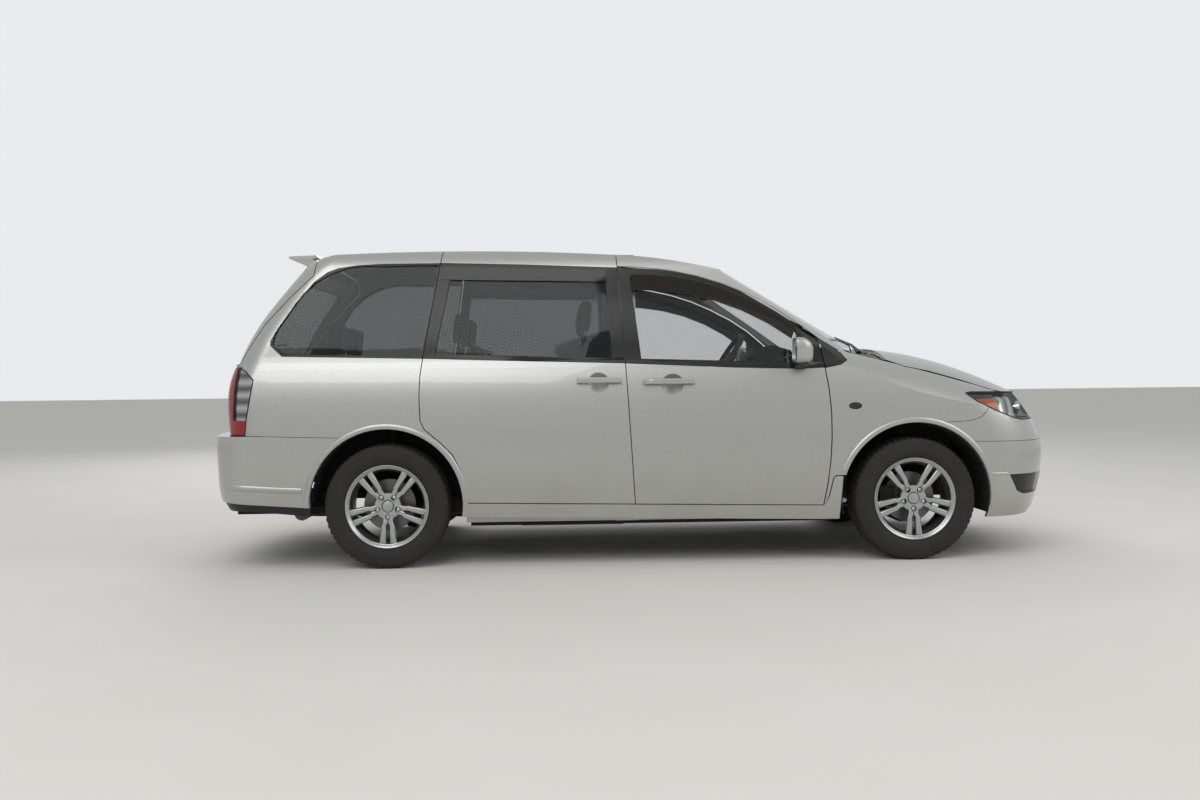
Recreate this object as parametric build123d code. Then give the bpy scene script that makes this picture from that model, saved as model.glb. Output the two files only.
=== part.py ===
"""People-carrier camper van, right-hand drive, as separate panels, running gear and cabin.

The frame: x runs forward, y to the vehicle's left, z up, and the origin is on the ground under
the middle of the overall length. All sizes are in millimetres.
"""
from build123d import *
from math import cos, hypot, radians, sin, sqrt
import os

# Overall sizes
WHEELBASE = 2840
FRONT_OVERHANG = 945
REAR_OVERHANG = 1020
HALF_WIDTH = 910
ROOF_Z = 1745
LENGTH = FRONT_OVERHANG + WHEELBASE + REAR_OVERHANG
NOSE_X = LENGTH / 2
TAIL_X = -LENGTH / 2
AXLE_F = NOSE_X - FRONT_OVERHANG
AXLE_R = AXLE_F - WHEELBASE
MID_X = (AXLE_F + AXLE_R) / 2

# Walls and gaps
SKIN = 4
DOOR_WALL = 80
FRAME_WALL = 40
BUMPER_WALL = 25
BONNET_WALL = 22
GLASS_RECESS = 7
SHUT_GAP = 5
FRONT_SHUT_GAP = 6
SEAT_GAP = 0.3
DOOR_RETURN = 18

# Wheels
TYRE_R = 332
TRACK_F = 1540
TRACK_R = 1545
HUB_BORE = 16
PIN_GAP = 0.3
ARCH_R = 405
ARCH_RISE = 10
SPOKES = 5

# Doors, lids and their hinges
DOOR_HINGE_BACK = 565
DOOR_HINGE_Y = 880
DOOR_HINGES = (540, 900)
HINGE_H = 36
HINGE_PIN = 5
EYE_R = 10
BONNET_HINGE = (-130, 1108)
BONNET_HINGES = (400,)
TAILGATE_HINGE = (-348, 1677)
TAILGATE_HINGES = (400,)
TAILGATE_SWEEP = 53
COWL_DROP = 27
COWL_WALL = 10
COWL_HALF = 736

# Number-plate screws, the same in front and behind
PLATE_SCREWS = 210
SCREW_R = 3
PLATE_Z = 610
REAR_PLATE_Z = 985

# Side view levels and the main widths inside
POST_Y = HALF_WIDTH - DOOR_WALL - 25
SILL_Y = HALF_WIDTH - DOOR_WALL - 40
FLOOR_HALF = 690
SILL_TOP = 349
SILL_FALL = 0.021
BELT_MID = 1075
BELT_FALL = 0.0325
ROOF_SPLIT = 600


def front(dx):
    """x of a point given from the front axle."""
    return AXLE_F + dx


def rear(dx):
    """x of a point given from the rear axle."""
    return AXLE_R + dx


def mid(dx):
    """x of a point given from the middle of the wheelbase."""
    return MID_X + dx


def belt(x):
    """Height of the lower edge of the window band."""
    return BELT_MID - BELT_FALL * (x - MID_X)


def sill(x):
    """Height of the upper edge of the side skirts."""
    return SILL_TOP - 19 - SILL_FALL * (x - MID_X)


arc = Edge.make_three_point_arc
line = Edge.make_line


def plan_wire(z, nose, half, tail, nose_r, nose_c, tail_r, tail_c, bow=10):
    """Closed outline of the body at one height: end arcs, corner arcs and bowed sides."""
    w = half - bow

    def corner(end, big, small, way):
        centre = end - way * big
        reach = big - small
        run = sqrt(reach**2 - (w - small) ** 2)
        ux, uy = run / reach, (w - small) / reach
        size = hypot(ux, uy + 1)
        side = (centre + way * run, w)
        middle = (centre + way * (run + small * ux / size), w - small + small * (uy + 1) / size)
        return side, middle, (centre + way * big * ux, big * uy)

    fs, fm, ft = corner(nose, nose_r, nose_c, 1)
    rs, rm, rt = corner(tail, tail_r, tail_c, -1)
    waist = ((fs[0] + rs[0]) / 2, half)

    def p(point, way=1):
        return Vector(point[0], way * point[1], z)

    return Wire([
        arc(p(ft, -1), Vector(nose, 0, z), p(ft)),
        arc(p(ft), p(fm), p(fs)),
        arc(p(fs), p(waist), p(rs)),
        arc(p(rs), p(rm), p(rt)),
        arc(p(rt), Vector(tail, 0, z), p(rt, -1)),
        arc(p(rt, -1), p(rm, -1), p(rs, -1)),
        arc(p(rs, -1), p(waist, -1), p(fs, -1)),
        arc(p(fs, -1), p(fm, -1), p(ft, -1)),
    ])


# Height, nose set back, side set in, tail set forward, tail set forward at the bumper
LOWER = [
    (190, 152, 35, 90, 110),
    (320, 41, 15, 82, 50),
    (470, 8, 3, 78, 8),
    (600, 6, 0, 75, 2),
    (740, 58, 0, 70, 10),
    (870, 147, 5, 63, 63),
    (985, 250, 20, 72, 72),
    (1100, 350, 52, 112, 112),
]
# Height, nose set back, side set in, tail set forward
UPPER = [
    (1060, 300, 38, 98),
    (1135, 300, 64, 128),
    (1350, 300, 124, 253),
    (1540, 300, 182, 405),
    (1640, 300, 218, 490),
    (1700, 300, 270, 545),
    (1748, 300, 390, 640),
]
# Side, bonnet front (back from nose, z), bonnet middle z, cowl (ahead of mid, z),
# header (ahead of mid, z), fall of the roof
TOP = [
    (0, 175, 893, 1095, 1240, 1165, 470, 1632, 0),
    (400, 215, 890, 1078, 1205, 1160, 440, 1622, 14),
    (740, 345, 876, 1010, 1085, 1130, 350, 1585, 47),
    (925, 560, 800, 880, 960, 1040, 250, 1530, 90),
]


def lower_body(inset, bumper=False):
    return Solid.make_loft([
        plan_wire(z, NOSE_X - f - inset, HALF_WIDTH - w - inset, TAIL_X + (b if bumper else t) + inset,
                  1450, 400, 3000, 180)
        for z, f, w, t, b in LOWER
    ], False)


def upper_body(inset):
    return Solid.make_loft([
        plan_wire(z, NOSE_X - f - inset, HALF_WIDTH - w - inset, TAIL_X + t + inset,
                  2600, 300, 2600, 160)
        for z, f, w, t in UPPER
    ], False)


def top_wire(y, nose_back, nose_z, middle_z, cowl, cowl_z, head, head_z, fall, inset):
    """Side view of bonnet, windscreen and roof at one distance from the centre line."""

    def p(x, z):
        return Vector(x, y, z - inset)

    nx, cx, hx = NOSE_X - nose_back, mid(cowl), mid(head)
    tip = p(nx + 900, nose_z - 520)
    roof_front, roof_back = p(mid(-150), ROOF_Z - 27 - fall), p(mid(-1720), ROOF_Z - 14 - fall)
    brow = p((hx + mid(-150)) / 2 + 40, ROOF_Z - 55 - 0.8 * fall - 0.2 * (1660 - head_z))
    end = p(TAIL_X - 60, ROOF_Z - 245)
    foot, heel = Vector(tip.X, y, 100), Vector(TAIL_X - 60, y, 100)
    return Wire([
        line(foot, tip),
        line(tip, p(nx, nose_z)),
        arc(p(nx, nose_z), p((nx + cx) / 2, middle_z), p(cx, cowl_z)),
        line(p(cx, cowl_z), p(hx, head_z)),
        arc(p(hx, head_z), brow, roof_front),
        arc(roof_front, p(mid(-900), ROOF_Z - fall), roof_back),
        line(roof_back, end),
        line(end, heel),
        line(heel, foot),
    ])


def top_body(inset):
    rows = [(-row[0], *row[1:]) for row in reversed(TOP[1:])] + TOP
    return Solid.make_loft([top_wire(*row, inset) for row in rows], False)


def body(low, high, roof):
    """The whole body's outside, moved in by its walls."""
    return (lower_body(low) + upper_body(high)) & top_body(roof)


def slab(points, y0, y1):
    """A side view outline of (x, z) points, given through from y0 to y1."""
    pts = [Vector(x, y0, z) for x, z in points]
    face = Face(Wire.make_polygon(pts, close=True))
    return extrude(face, amount=abs(y1 - y0), dir=(0, 1 if y1 > y0 else -1, 0))


def front_slab(points, x0, x1):
    """A front view outline of (y, z) points, given through from x0 to x1."""
    pts = [Vector(x0, y, z) for y, z in points]
    face = Face(Wire.make_polygon(pts, close=True))
    return extrude(face, amount=abs(x1 - x0), dir=(1 if x1 > x0 else -1, 0, 0))


def box(x0, x1, y0, y1, z0, z1):
    return Pos((x0 + x1) / 2, (y0 + y1) / 2, (z0 + z1) / 2) * Box(
        abs(x1 - x0), abs(y1 - y0), abs(z1 - z0))


def rod(start, end, radius):
    """A round bar between two points."""
    a, b = Vector(*start), Vector(*end)
    way = b - a
    return extrude(Plane(origin=a, z_dir=way) * Circle(radius), amount=way.length)


def grow(points, by):
    """The outline moved outward by so much."""
    face = Face(Wire.make_polygon([Vector(x, z, 0) for x, z in points], close=True))
    out = offset(face, amount=by, kind=Kind.INTERSECTION)
    wire = out.faces()[0].outer_wire()
    return [(v.X, v.Y) for v in (e @ 0 for e in wire.order_edges())]


def curve(p0, p1, p2, steps=6):
    """Points along the circular arc through three points of a side view."""
    e = arc(Vector(p0[0], p0[1], 0), Vector(p1[0], p1[1], 0), Vector(p2[0], p2[1], 0))
    return [((e @ (i / steps)).X, (e @ (i / steps)).Y) for i in range(steps + 1)]


def mirrored(shape):
    return mirror(shape, about=Plane.XZ)


nodes = {}


def keep(name, shape):
    nodes[name] = shape


def keep_pair(name, right):
    """A piece of the right side (negative y) and its mirror image."""
    keep(name + "_right", right)
    keep(name + "_left", mirrored(right))


def keep_both(name, right):
    """A piece and its mirror image, both fixed to the body, in one node."""
    keep(name, Compound(list(right.solids()) + list(mirrored(right).solids())))


# Outlines in side view
seam_front = curve((front(-507), sill(front(-507))), (front(-463), 761), (front(-490), 1044)) + [
    (front(-515), 1214)]
pillar_low = curve((front(-515), 1214), (front(-849), 1439), (mid(-171), 1611), 8)
half_gap = SHUT_GAP / 2
FRONT_DOOR = (
    [(mid(-98) + half_gap, sill(mid(-98)))] + seam_front + pillar_low[1:-1]
    + [(mid(-173) + half_gap, 1611), (mid(-141) + half_gap, 1074)]
)
seam_rear = [
    (rear(418), sill(rear(418))), (rear(399), 519), (rear(356), 609), (rear(297), 669),
    (rear(210), 744), (rear(189), 789), (rear(184), 907), (rear(188), 1026), (rear(200), 1115),
    (rear(285), 1638), (rear(302), 1760),
]
SLIDING_DOOR = (
    seam_rear + [(mid(-182) - half_gap, 1760), (mid(-141) - half_gap, 1074),
                 (mid(-98) - half_gap, sill(mid(-98)))]
)
glass_top = curve((front(-640), 1252), (front(-900), 1413), (mid(-105), 1553), 8)
FRONT_WINDOW = (
    [(mid(-55), belt(mid(-55)) + 28), (front(-622), belt(front(-622)) + 28), (front(-628), 1236)]
    + glass_top
)
SLIDING_WINDOW = [
    (rear(262), belt(rear(262)) + 28), (mid(-212), belt(mid(-212)) + 28), (mid(-238), 1576),
    (rear(345), 1596),
]
QUARTER_WINDOW = (
    [(rear(193), belt(rear(193)) + 12), (rear(272), 1630), (rear(158), 1630)]
    + curve((rear(-39), 1627), (rear(-325), 1580), (rear(-505), 1405), 6)
    + [(rear(-590), 1262), (rear(-600), 1205), (rear(-553), 1148)]
)
TAIL_SEAM = [(rear(-792), 1090), (rear(-757), 1155), (rear(-653), 1318), (rear(-524), 1464),
             (rear(-404), 1579), (rear(-388), 1800)]
TAIL_LAMP = [(rear(-1100), 1085), (rear(-776), 1078), (rear(-734), 1058), (rear(-691), 1014),
             (rear(-704), 931), (rear(-727), 799), (rear(-734), 716), (rear(-1100), 716)]
HEADLAMP = [(front(289), 905), (front(482), 903), (front(1100), 893), (front(1100), 752),
            (front(608), 752), (front(549), 765), (front(432), 808), (front(339), 855)]
BONNET_LINE = [(front(-110), 1088), (front(-11), 1051), (front(126), 1024), (front(298), 975),
               (front(470), 918), (front(547), 902), (front(1100), 898)]
WING_SEAM = [(front(0), 738), (front(60), 739), (front(302), 754), (front(353), 770),
             (front(395), 824)]
BUMPER_TOP_R = [(rear(-1100), 716), (rear(-719), 716), (rear(-200), 702)]

W = HALF_WIDTH + 100
right_half = box(NOSE_X + 200, TAIL_X - 200, 0, -W, 0, ROOF_Z + 100)
OUT = body(0, 0, 0) & right_half
THIN = body(SKIN, SKIN, SKIN) & right_half
THICK = body(DOOR_WALL, FRAME_WALL, FRAME_WALL)
skin = OUT - THIN
wall = OUT - THICK


def arch(axle):
    """The round wheel opening of the right side."""
    return Pos(axle, -W / 2, TYRE_R + ARCH_RISE) * Rot(90, 0, 0) * Cylinder(ARCH_R, W)


arches = arch(AXLE_F) + arch(AXLE_R)

# Hinge line of the right front door
HX, HY = front(-DOOR_HINGE_BACK), -DOOR_HINGE_Y
NOSE_SWEEP = hypot(DOOR_HINGE_BACK - 460, HALF_WIDTH - DOOR_HINGE_Y)


def swept(extra):
    """Room that the front door's leading end turns in, and all that lies behind the hinge."""
    turn = Pos(HX, HY, 900) * Cylinder(NOSE_SWEEP + extra, 1800)
    return turn + box(TAIL_X, HX, 0, -W, 0, 1800)


def hinge_pockets():
    cut = None
    for z in DOOR_HINGES:
        h = HINGE_H / 2 + SHUT_GAP
        one = box(HX - EYE_R - 8, HX + 92, HY - EYE_R - 2, HY + 120, z - h, z + h)
        one = one + Pos(HX, HY, z) * Cylinder(HINGE_PIN + PIN_GAP, HINGE_H + 60)
        cut = one if cut is None else cut + one
    return cut


def panel(outline, inside=0, opening=None):
    """A door: the thin skin out to its seam and the thick case inside it, less its window."""
    through = slab(outline, inside, -W)
    case = slab(grow(outline, -DOOR_RETURN), inside, -W)
    if opening:
        hole = slab(opening, 0, -W)
        through, case = through - hole, case - hole
    return skin & through, wall & case


def handle(x0, x1, z):
    """A grab handle standing off the skin on its two ends."""
    y = HALF_WIDTH - 19
    bar = Pos((x0 + x1) / 2, -y - 20, z) * Box(x1 - x0, 14, 30)
    bar = fillet(bar.edges(), 6)
    ends = box(x0 + 12, x0 + 42, -y + 6, -y - 16, z - 11, z + 11)
    ends = ends + box(x1 - 42, x1 - 12, -y + 6, -y - 16, z - 11, z + 11)
    return (bar + ends) - OUT


CUP_R, CUP_DEPTH = 56, 20


def cup(x, z):
    """The finger bowl pressed into the skin behind a handle, as a ball to cut with."""
    ball = (CUP_R**2 + CUP_DEPTH**2) / (2 * CUP_DEPTH)
    return Pos(x, -(HALF_WIDTH - 21) - ball + CUP_DEPTH, z) * Sphere(ball)


def front_door():
    outside, case = panel(FRONT_DOOR, 0, FRONT_WINDOW)
    door = outside + ((case & swept(0)) - hinge_pockets())
    return (door - cup(mid(109), 978)) + handle(mid(-49), mid(224), 983)


def sliding_door():
    outside, case = panel(SLIDING_DOOR, -ROOF_SPLIT, SLIDING_WINDOW)
    latch = box(mid(-198), mid(-160), -POST_Y - SEAT_GAP, -HALF_WIDTH + DOOR_WALL - 5, 560, 640)
    return (outside + case + latch) - cup(mid(-287), 993)


def window_glass(outline):
    """A pane behind the skin, cut a hair smaller than its opening."""
    return (Pos(0, GLASS_RECESS, 0) * skin) & slab(grow(outline, -SEAT_GAP), 0, -W)


def whole(half):
    """A right half and its mirror image as one solid."""
    return half + mirrored(half)


keep_pair("front_door", front_door())
keep_pair("front_glass", window_glass(FRONT_WINDOW))
keep_pair("sliding_door", sliding_door())
keep_both("sliding_glass", window_glass(SLIDING_WINDOW))
keep_both("quarter_glass", window_glass(QUARTER_WINDOW))

# Side frame: cantrail, pillars and quarter panel, with the posts behind the doors
SIDE = [(rear(-1100), 1085), (rear(-760), 1085), (rear(-760), 716 + SEAT_GAP),
        (rear(-719), 716 + SEAT_GAP), (rear(-200), 702 + SEAT_GAP),
        (rear(-200), 350), (rear(418), sill(rear(418))), (front(-540), sill(front(-540))),
        (front(-540), 1232), (front(-386), 1140), (front(-288), 1186), (front(-200), 1240),
        (front(-200), 1800), (rear(-1100), 1800)]
GLASS_EDGE = [(10, 900), (-728, 1130), (-705, 1180), (-590, 1640), (-ROOF_SPLIT + 40, 1690),
              (-ROOF_SPLIT + 40, 1800), (10, 1800)]
HEADER_X = mid(420)
TAILGATE = [(TAIL_X - 100, 1800)] + TAIL_SEAM[::-1] + [(TAIL_X - 100, 1090)]
B_POST = [(-SILL_Y, 230), (-SILL_Y, 330), (-POST_Y, 380), (-POST_Y, 940), (-765, 1110),
          (-735, 1350), (-676, 1540), (-628, 1630), (-594, 1648), (-594, 1690), (-562, 1690),
          (-575, 1630), (-612, 1530), (-670, 1350), (-700, 1110), (-740, 960), (-740, 230)]


def side_frame():
    return wall & (slab(SIDE, 0, -W) - slab(grow(FRONT_DOOR, SHUT_GAP), 0, -W)
                  - slab(grow(SLIDING_DOOR, SHUT_GAP), -ROOF_SPLIT + SHUT_GAP, -W)
                  - slab(QUARTER_WINDOW, 0, -W) - arches
                  - front_slab(GLASS_EDGE, HEADER_X, NOSE_X)
                  - box(HEADER_X, TAIL_X, 10, -ROOF_SPLIT + 40, 1400, 1800)
                  - slab(grow(TAILGATE, SHUT_GAP), 0, -W) - slab(TAIL_LAMP, 0, -W)
                  - box(TAIL_X - 50, TAIL_X + 300, 10, -636, 600, 1800))


def side_frame_with_posts():
    """The frame with the post between the doors and the hinge post of the front door."""
    b_post = front_slab(B_POST, mid(-205), mid(-75))
    a_post = box(front(-555), front(-415), -POST_Y, -FLOOR_HALF, 475, 960)
    a_post = a_post + box(front(-555), front(-415), -SILL_Y, -FLOOR_HALF, 300, 480)
    a_post = a_post - Pos(HX, HY, 900) * Cylinder(NOSE_SWEEP + SHUT_GAP + 1, 1800)
    a_top = box(front(-500), front(-415), -POST_Y + 40, -FLOOR_HALF, 955, 1140)
    sail_foot = box(front(-450), front(-415), -W, -750, 1060, 1130)
    a_top = a_top + (sail_foot & (Pos(0, SEAT_GAP, 0) * THIN))
    sill_box = box(rear(415), front(-415), -SILL_Y, -FLOOR_HALF, 232, 328)
    posts = b_post + a_post + a_top + sill_box + hinge_arms()
    return side_frame() + posts


def hinge_arms():
    """Arms from the hinge post to the eyes, each with its upright pin."""
    arms = None
    for z in DOOR_HINGES:
        one = box(HX - 7, HX + 7, HY, -750, z - HINGE_H / 2, z + HINGE_H / 2)
        one = one + box(HX - 7, HX + 40, -764, -740, z - HINGE_H / 2, z + HINGE_H / 2)
        one = one + Pos(HX, HY, z) * Cylinder(EYE_R, HINGE_H)
        one = one + Pos(HX, HY, z) * Cylinder(HINGE_PIN, HINGE_H + 50)
        arms = one if arms is None else arms + one
    return arms


keep_pair("side_frame", side_frame_with_posts())

# Roof, windscreen, bonnet and the panels ahead of the doors
ROOF_HALF = ROOF_SPLIT - 40 - SEAT_GAP


def roof():
    zone = box(HEADER_X, rear(-388) + SHUT_GAP, 0, -ROOF_HALF, 1400, 1800)
    half = wall & (zone - slab(grow(TAILGATE, SHUT_GAP), 0, -W))
    hx, hz = rear(TAILGATE_HINGE[0]), TAILGATE_HINGE[1]
    for y in TAILGATE_HINGES:
        half = half - box(hx - 60, hx + 24, -y - 20, -y + 20, hz - 80, hz + 15)
        half = half + rod((hx, -y - 28, hz), (hx, -y + 28, hz), HINGE_PIN)
    return whole(half)


def glass_foot(back):
    """Plan view arc of the windscreen's foot, as a block of all that lies behind it."""
    side = [(mid(1080) - back, -760), (mid(1190) - back, -400), (mid(1232) - back, 0)]
    e = arc(*[Vector(x, y, 1000) for x, y in side])
    pts = [e @ (i / 6) for i in range(7)]
    pts += [Vector(mid(0), 0, 1000), Vector(mid(0), -760, 1000)]
    return extrude(Face(Wire.make_polygon(pts, close=True)), amount=800, dir=(0, 0, 1))


def windscreen():
    inset = [(y + (SEAT_GAP + 0.3 if y < 0 else 0), z) for y, z in GLASS_EDGE]
    zone = front_slab(inset, HEADER_X + SEAT_GAP, NOSE_X) & glass_foot(0)
    return whole((Pos(0, 0, -2) * skin) & zone)


BONNET = BONNET_LINE + [(front(1100), 1300), (front(-110), 1300)]
FENDER = (
    [(x + FRONT_SHUT_GAP, z) for x, z in seam_front[:-1]]
    + [(front(-397), 1062), (front(-356), 1086), (front(-386), 1138), (front(-288), 1184),
       (front(-115), 1184)]
    + [(x, z - SHUT_GAP) for x, z in BONNET_LINE[:-2]]
    + [(front(482), 894), (front(430), 850)]
    + [(x, z + SEAT_GAP) for x, z in WING_SEAM[::-1]]
    + [(front(0), 500), (front(-400), 469), (front(-441), 469), (front(-453), 459),
       (front(-477), 361), (front(-496), 311)]
)
SAIL = [(front(-484), 1051), (front(-397), 1064), (front(-360), 1087), (front(-389), 1135),
        (front(-507), 1206)]
bonnet_in = body(BONNET_WALL, BONNET_WALL, BONNET_WALL) & right_half
front_in = lower_body(BUMPER_WALL)


def bonnet():
    half = (OUT & slab(BONNET, 0, -W)) - bonnet_in
    bx, bz = front(BONNET_HINGE[0]), BONNET_HINGE[1]
    for y in BONNET_HINGES:
        lug = slab([(bx - 9, bz - 9), (bx + 9, bz - 9), (bx + 54, bz + 14), (bx + 54, bz + 28),
                    (bx + 24, bz + 28), (bx + 2, bz + 9), (bx - 9, bz + 9)], -y, -y + 14)
        half = half + (lug - rod((bx, -y - 5, bz), (bx, -y + 20, bz), HINGE_PIN + PIN_GAP))
    return whole(half)


def fender():
    """The front wing, held to the hinge post by two brackets."""
    wing = skin & (slab(FENDER, -COWL_HALF, -W) - arches - slab(grow(HEADLAMP, 2), 0, -W))
    for z in (560, 900):
        strap = box(front(-415) + SEAT_GAP, front(-392), -740, -W, z, z + 30)
        wing = wing + ((strap & OUT) - arches)
    return wing


def headlamp():
    zone = slab(grow(HEADLAMP, -SEAT_GAP), -430, -W)
    return (OUT & zone) - lower_body(90)


def grille():
    """The upper grille: a surround with three bars across it."""
    top_z, low_z = 884, 768
    zone = slab([(front(600), low_z), (front(1100), low_z), (front(1100), top_z), (front(600), top_z)],
                0, -430 + SEAT_GAP)
    gap = (top_z - low_z - 2 * 12 - 3 * 14) / 4
    for i in range(4):
        z = low_z + 12 + i * (gap + 14)
        zone = zone - box(front(500), NOSE_X + 50, 10, -412, z, z + gap)
    return whole((OUT & zone) - lower_body(45))


BUMPER_F = [(front(0), 228), (front(1100), 228), (front(1100), 747), (front(549), 762),
            (front(432), 806)] + WING_SEAM[::-1]


FOG = [(front(513), 458), (front(565), 365), (front(611), 346), (front(1100), 346),
       (front(1100), 458)]
FOG_Y = -600
FOG_DEPTH = 20
FOG_WALL = 8


def front_bumper():
    zone = slab(BUMPER_F, 0, -W) - arches - slab(grow(HEADLAMP, 2), 0, -W)
    half = (OUT & zone) - front_in
    half = half - box(front(500), NOSE_X + 50, 10, -470, 300, 450)
    half = half - slab(FOG, FOG_Y, -W)
    screw_y = -PLATE_SCREWS / 2
    hole = rod((NOSE_X - 80, screw_y, PLATE_Z), (NOSE_X + 10, screw_y, PLATE_Z), SCREW_R)
    return whole(half - hole)


def lower_grille():
    """Slats in the bumper's intake."""
    zone = None
    for i in range(4):
        one = box(front(500), NOSE_X, 0, -470 + SEAT_GAP, 318 + i * 36, 330 + i * 36)
        zone = one if zone is None else zone + one
    zone = zone + box(front(500), NOSE_X, -455, -470 + SEAT_GAP, 300.3, 449.7)
    slats = (lower_body(12) & right_half & zone) - lower_body(BUMPER_WALL + 10)
    return whole(slats)


def fog_insert():
    """The dark pan that closes a fog-lamp recess."""
    zone = slab(grow(FOG, -SEAT_GAP), FOG_Y - SEAT_GAP, -W)
    return (lower_body(FOG_DEPTH) & zone) - lower_body(FOG_DEPTH + FOG_WALL)


BUMPER_LOW_R = [(rear(-200), 340), (rear(-404), 333), (rear(-833), 363), (rear(-1100), 380)]
BUMPER_R = BUMPER_TOP_R + BUMPER_LOW_R
VALANCE = [(x, z - SEAT_GAP) for x, z in BUMPER_LOW_R] + [
    (rear(-1100), 318), (rear(-700), 316), (rear(-417), 288), (rear(-200), 288)]
bumper_out = lower_body(0, bumper=True)


def rear_bumper():
    zone = slab(BUMPER_R, 0, -W) - arches
    return whole((bumper_out & zone) - front_in)


def rear_valance():
    zone = slab(VALANCE, 0, -W) - arches
    return whole((lower_body(12, bumper=True) & zone) - lower_body(BUMPER_WALL + 12))


LAMP_Y = -640


def tail_lamp():
    return wall & slab(grow(TAIL_LAMP, -SEAT_GAP), LAMP_Y, -W)


SPOILER = [(rear(-425), 1700), (rear(-436), 1714), (rear(-588), 1708), (rear(-592), 1698),
           (rear(-480), 1693)]
REAR_WINDOW = [(10, 1180), (-655, 1180), (-668, 1215), (-600, 1520), (-570, 1560), (10, 1575)]
TAILGATE_LOW = [(TAIL_X - 100, 1095), (rear(-600), 1095), (rear(-600), 722), (TAIL_X - 100, 722)]


def tailgate():
    """The tail door with its spoiler and the swan-neck arms of its hinges."""
    zone = slab(TAILGATE, 0, -W) + slab(TAILGATE_LOW, 0, LAMP_Y + SHUT_GAP)
    zone = zone - front_slab(REAR_WINDOW, TAIL_X - 100, rear(-300))
    hx, hz = rear(TAILGATE_HINGE[0]), TAILGATE_HINGE[1]
    turn = rod((hx, 1, hz), (hx, -W, hz), TAILGATE_SWEEP)
    half = (wall & zone) - turn
    for y in TAILGATE_HINGES:
        neck = slab([(hx + 6, hz), (hx + 6, hz - 57), (hx - 81, hz - 66), (hx - 81, hz + 10),
                     (hx - 69, hz + 10), (hx - 69, hz - 53), (hx - 6, hz - 45), (hx - 6, hz)],
                    -y - 14, -y + 14)
        neck = neck + rod((hx, -y - 14, hz), (hx, -y + 14, hz), EYE_R)
        half = half + (neck - rod((hx, -y - 20, hz), (hx, -y + 20, hz), HINGE_PIN + PIN_GAP))
        leg = box(rear(-480), rear(-440), -y + 60, -y + 100, 1670, 1700)
        half = half + leg
    screw_y = -PLATE_SCREWS / 2
    hole = rod((TAIL_X - 10, screw_y, REAR_PLATE_Z), (TAIL_X + 200, screw_y, REAR_PLATE_Z), SCREW_R)
    return whole((half - hole) + slab(SPOILER, 0, -480))


def rear_glass():
    zone = front_slab([(y + SEAT_GAP if y < 0 else y, z) for y, z in REAR_WINDOW],
                      TAIL_X - 100, rear(-380))
    zone = zone & slab(TAILGATE, 0, -W)
    return whole((Pos(GLASS_RECESS, 0, 0) * skin) & zone)


keep("roof", roof())
keep("windscreen", windscreen())
keep("bonnet", bonnet())
keep_pair("fender", fender())
keep_both("sail_panels", skin & slab(SAIL, 0, -W))
keep_pair("headlamp", headlamp())
keep("grille", Compound([grille().solid(), lower_grille().solid()]))
keep_both("fog_pans", fog_insert())
keep("front_bumper", front_bumper())
keep("rear_bumper", rear_bumper())
keep("rear_valance", rear_valance())
keep_both("tail_lamps", tail_lamp())
keep("tailgate", tailgate())
keep("rear_glass", rear_glass())


# Skirts, cowl, liners and floor
SKIRT = (
    [(rear(384), 369), (rear(404), sill(rear(404)) - SHUT_GAP)]
    + [(front(-505), sill(front(-505)) - SHUT_GAP), (front(-494), 312), (front(-471), 361),
       (front(-447), 459), (front(-437), 463), (front(-400), 463), (front(-417), 232),
       (front(-524), 232), (rear(399), 274)]
)


def side_skirt():
    inner = -SILL_Y - SEAT_GAP
    return (wall & (slab(SKIRT, 0, -W) - arches)) - box(TAIL_X, NOSE_X, 0, inner, 0, 600)


def cowl_panel():
    """The black panel between the bonnet and the windscreen's foot."""
    zone = box(front(-110) - SHUT_GAP, mid(700), 0, SEAT_GAP - COWL_HALF, 1000, 1300)
    zone = zone - glass_foot(-SEAT_GAP)
    for y in BONNET_HINGES:
        zone = zone - box(front(BONNET_HINGE[0]) - 16, front(0), -y + 32, -y - 20, 900, 1300)
    shell = (Pos(0, 0, -COWL_DROP) * OUT) - Pos(0, 0, -COWL_DROP - COWL_WALL) * OUT
    foot = box(front(-240), front(-190), -300, -350, 1065 + SEAT_GAP, 1200)
    return whole((shell & zone) + (foot & (Pos(0, 0, -COWL_DROP - 2) * OUT)))


def front_liner():
    """The arch liner over a front wheel, between the apron and the wing's lip."""
    y0, y1 = -655, -878
    ring = Pos(AXLE_F, (y0 + y1) / 2, TYRE_R + ARCH_RISE) * Rot(90, 0, 0) * (
        Cylinder(ARCH_R - 0.3, y0 - y1) - Cylinder(ARCH_R - 5, y0 - y1))
    return ring - box(front(-500), front(500), 0, -W, -200, 255)


def wheelhouse():
    """The inside of a rear arch, closed by its inner wall."""
    z = TYRE_R + ARCH_RISE
    outer = rod((AXLE_R, -540, z), (AXLE_R, -POST_Y, z), ARCH_R + 8)
    inner = rod((AXLE_R, -554, z), (AXLE_R, -POST_Y - 1, z), ARCH_R)
    return (outer - inner) - box(rear(500), rear(-500), 0, -W, -200, 350)


def both(piece):
    return piece + mirrored(piece)


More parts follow.
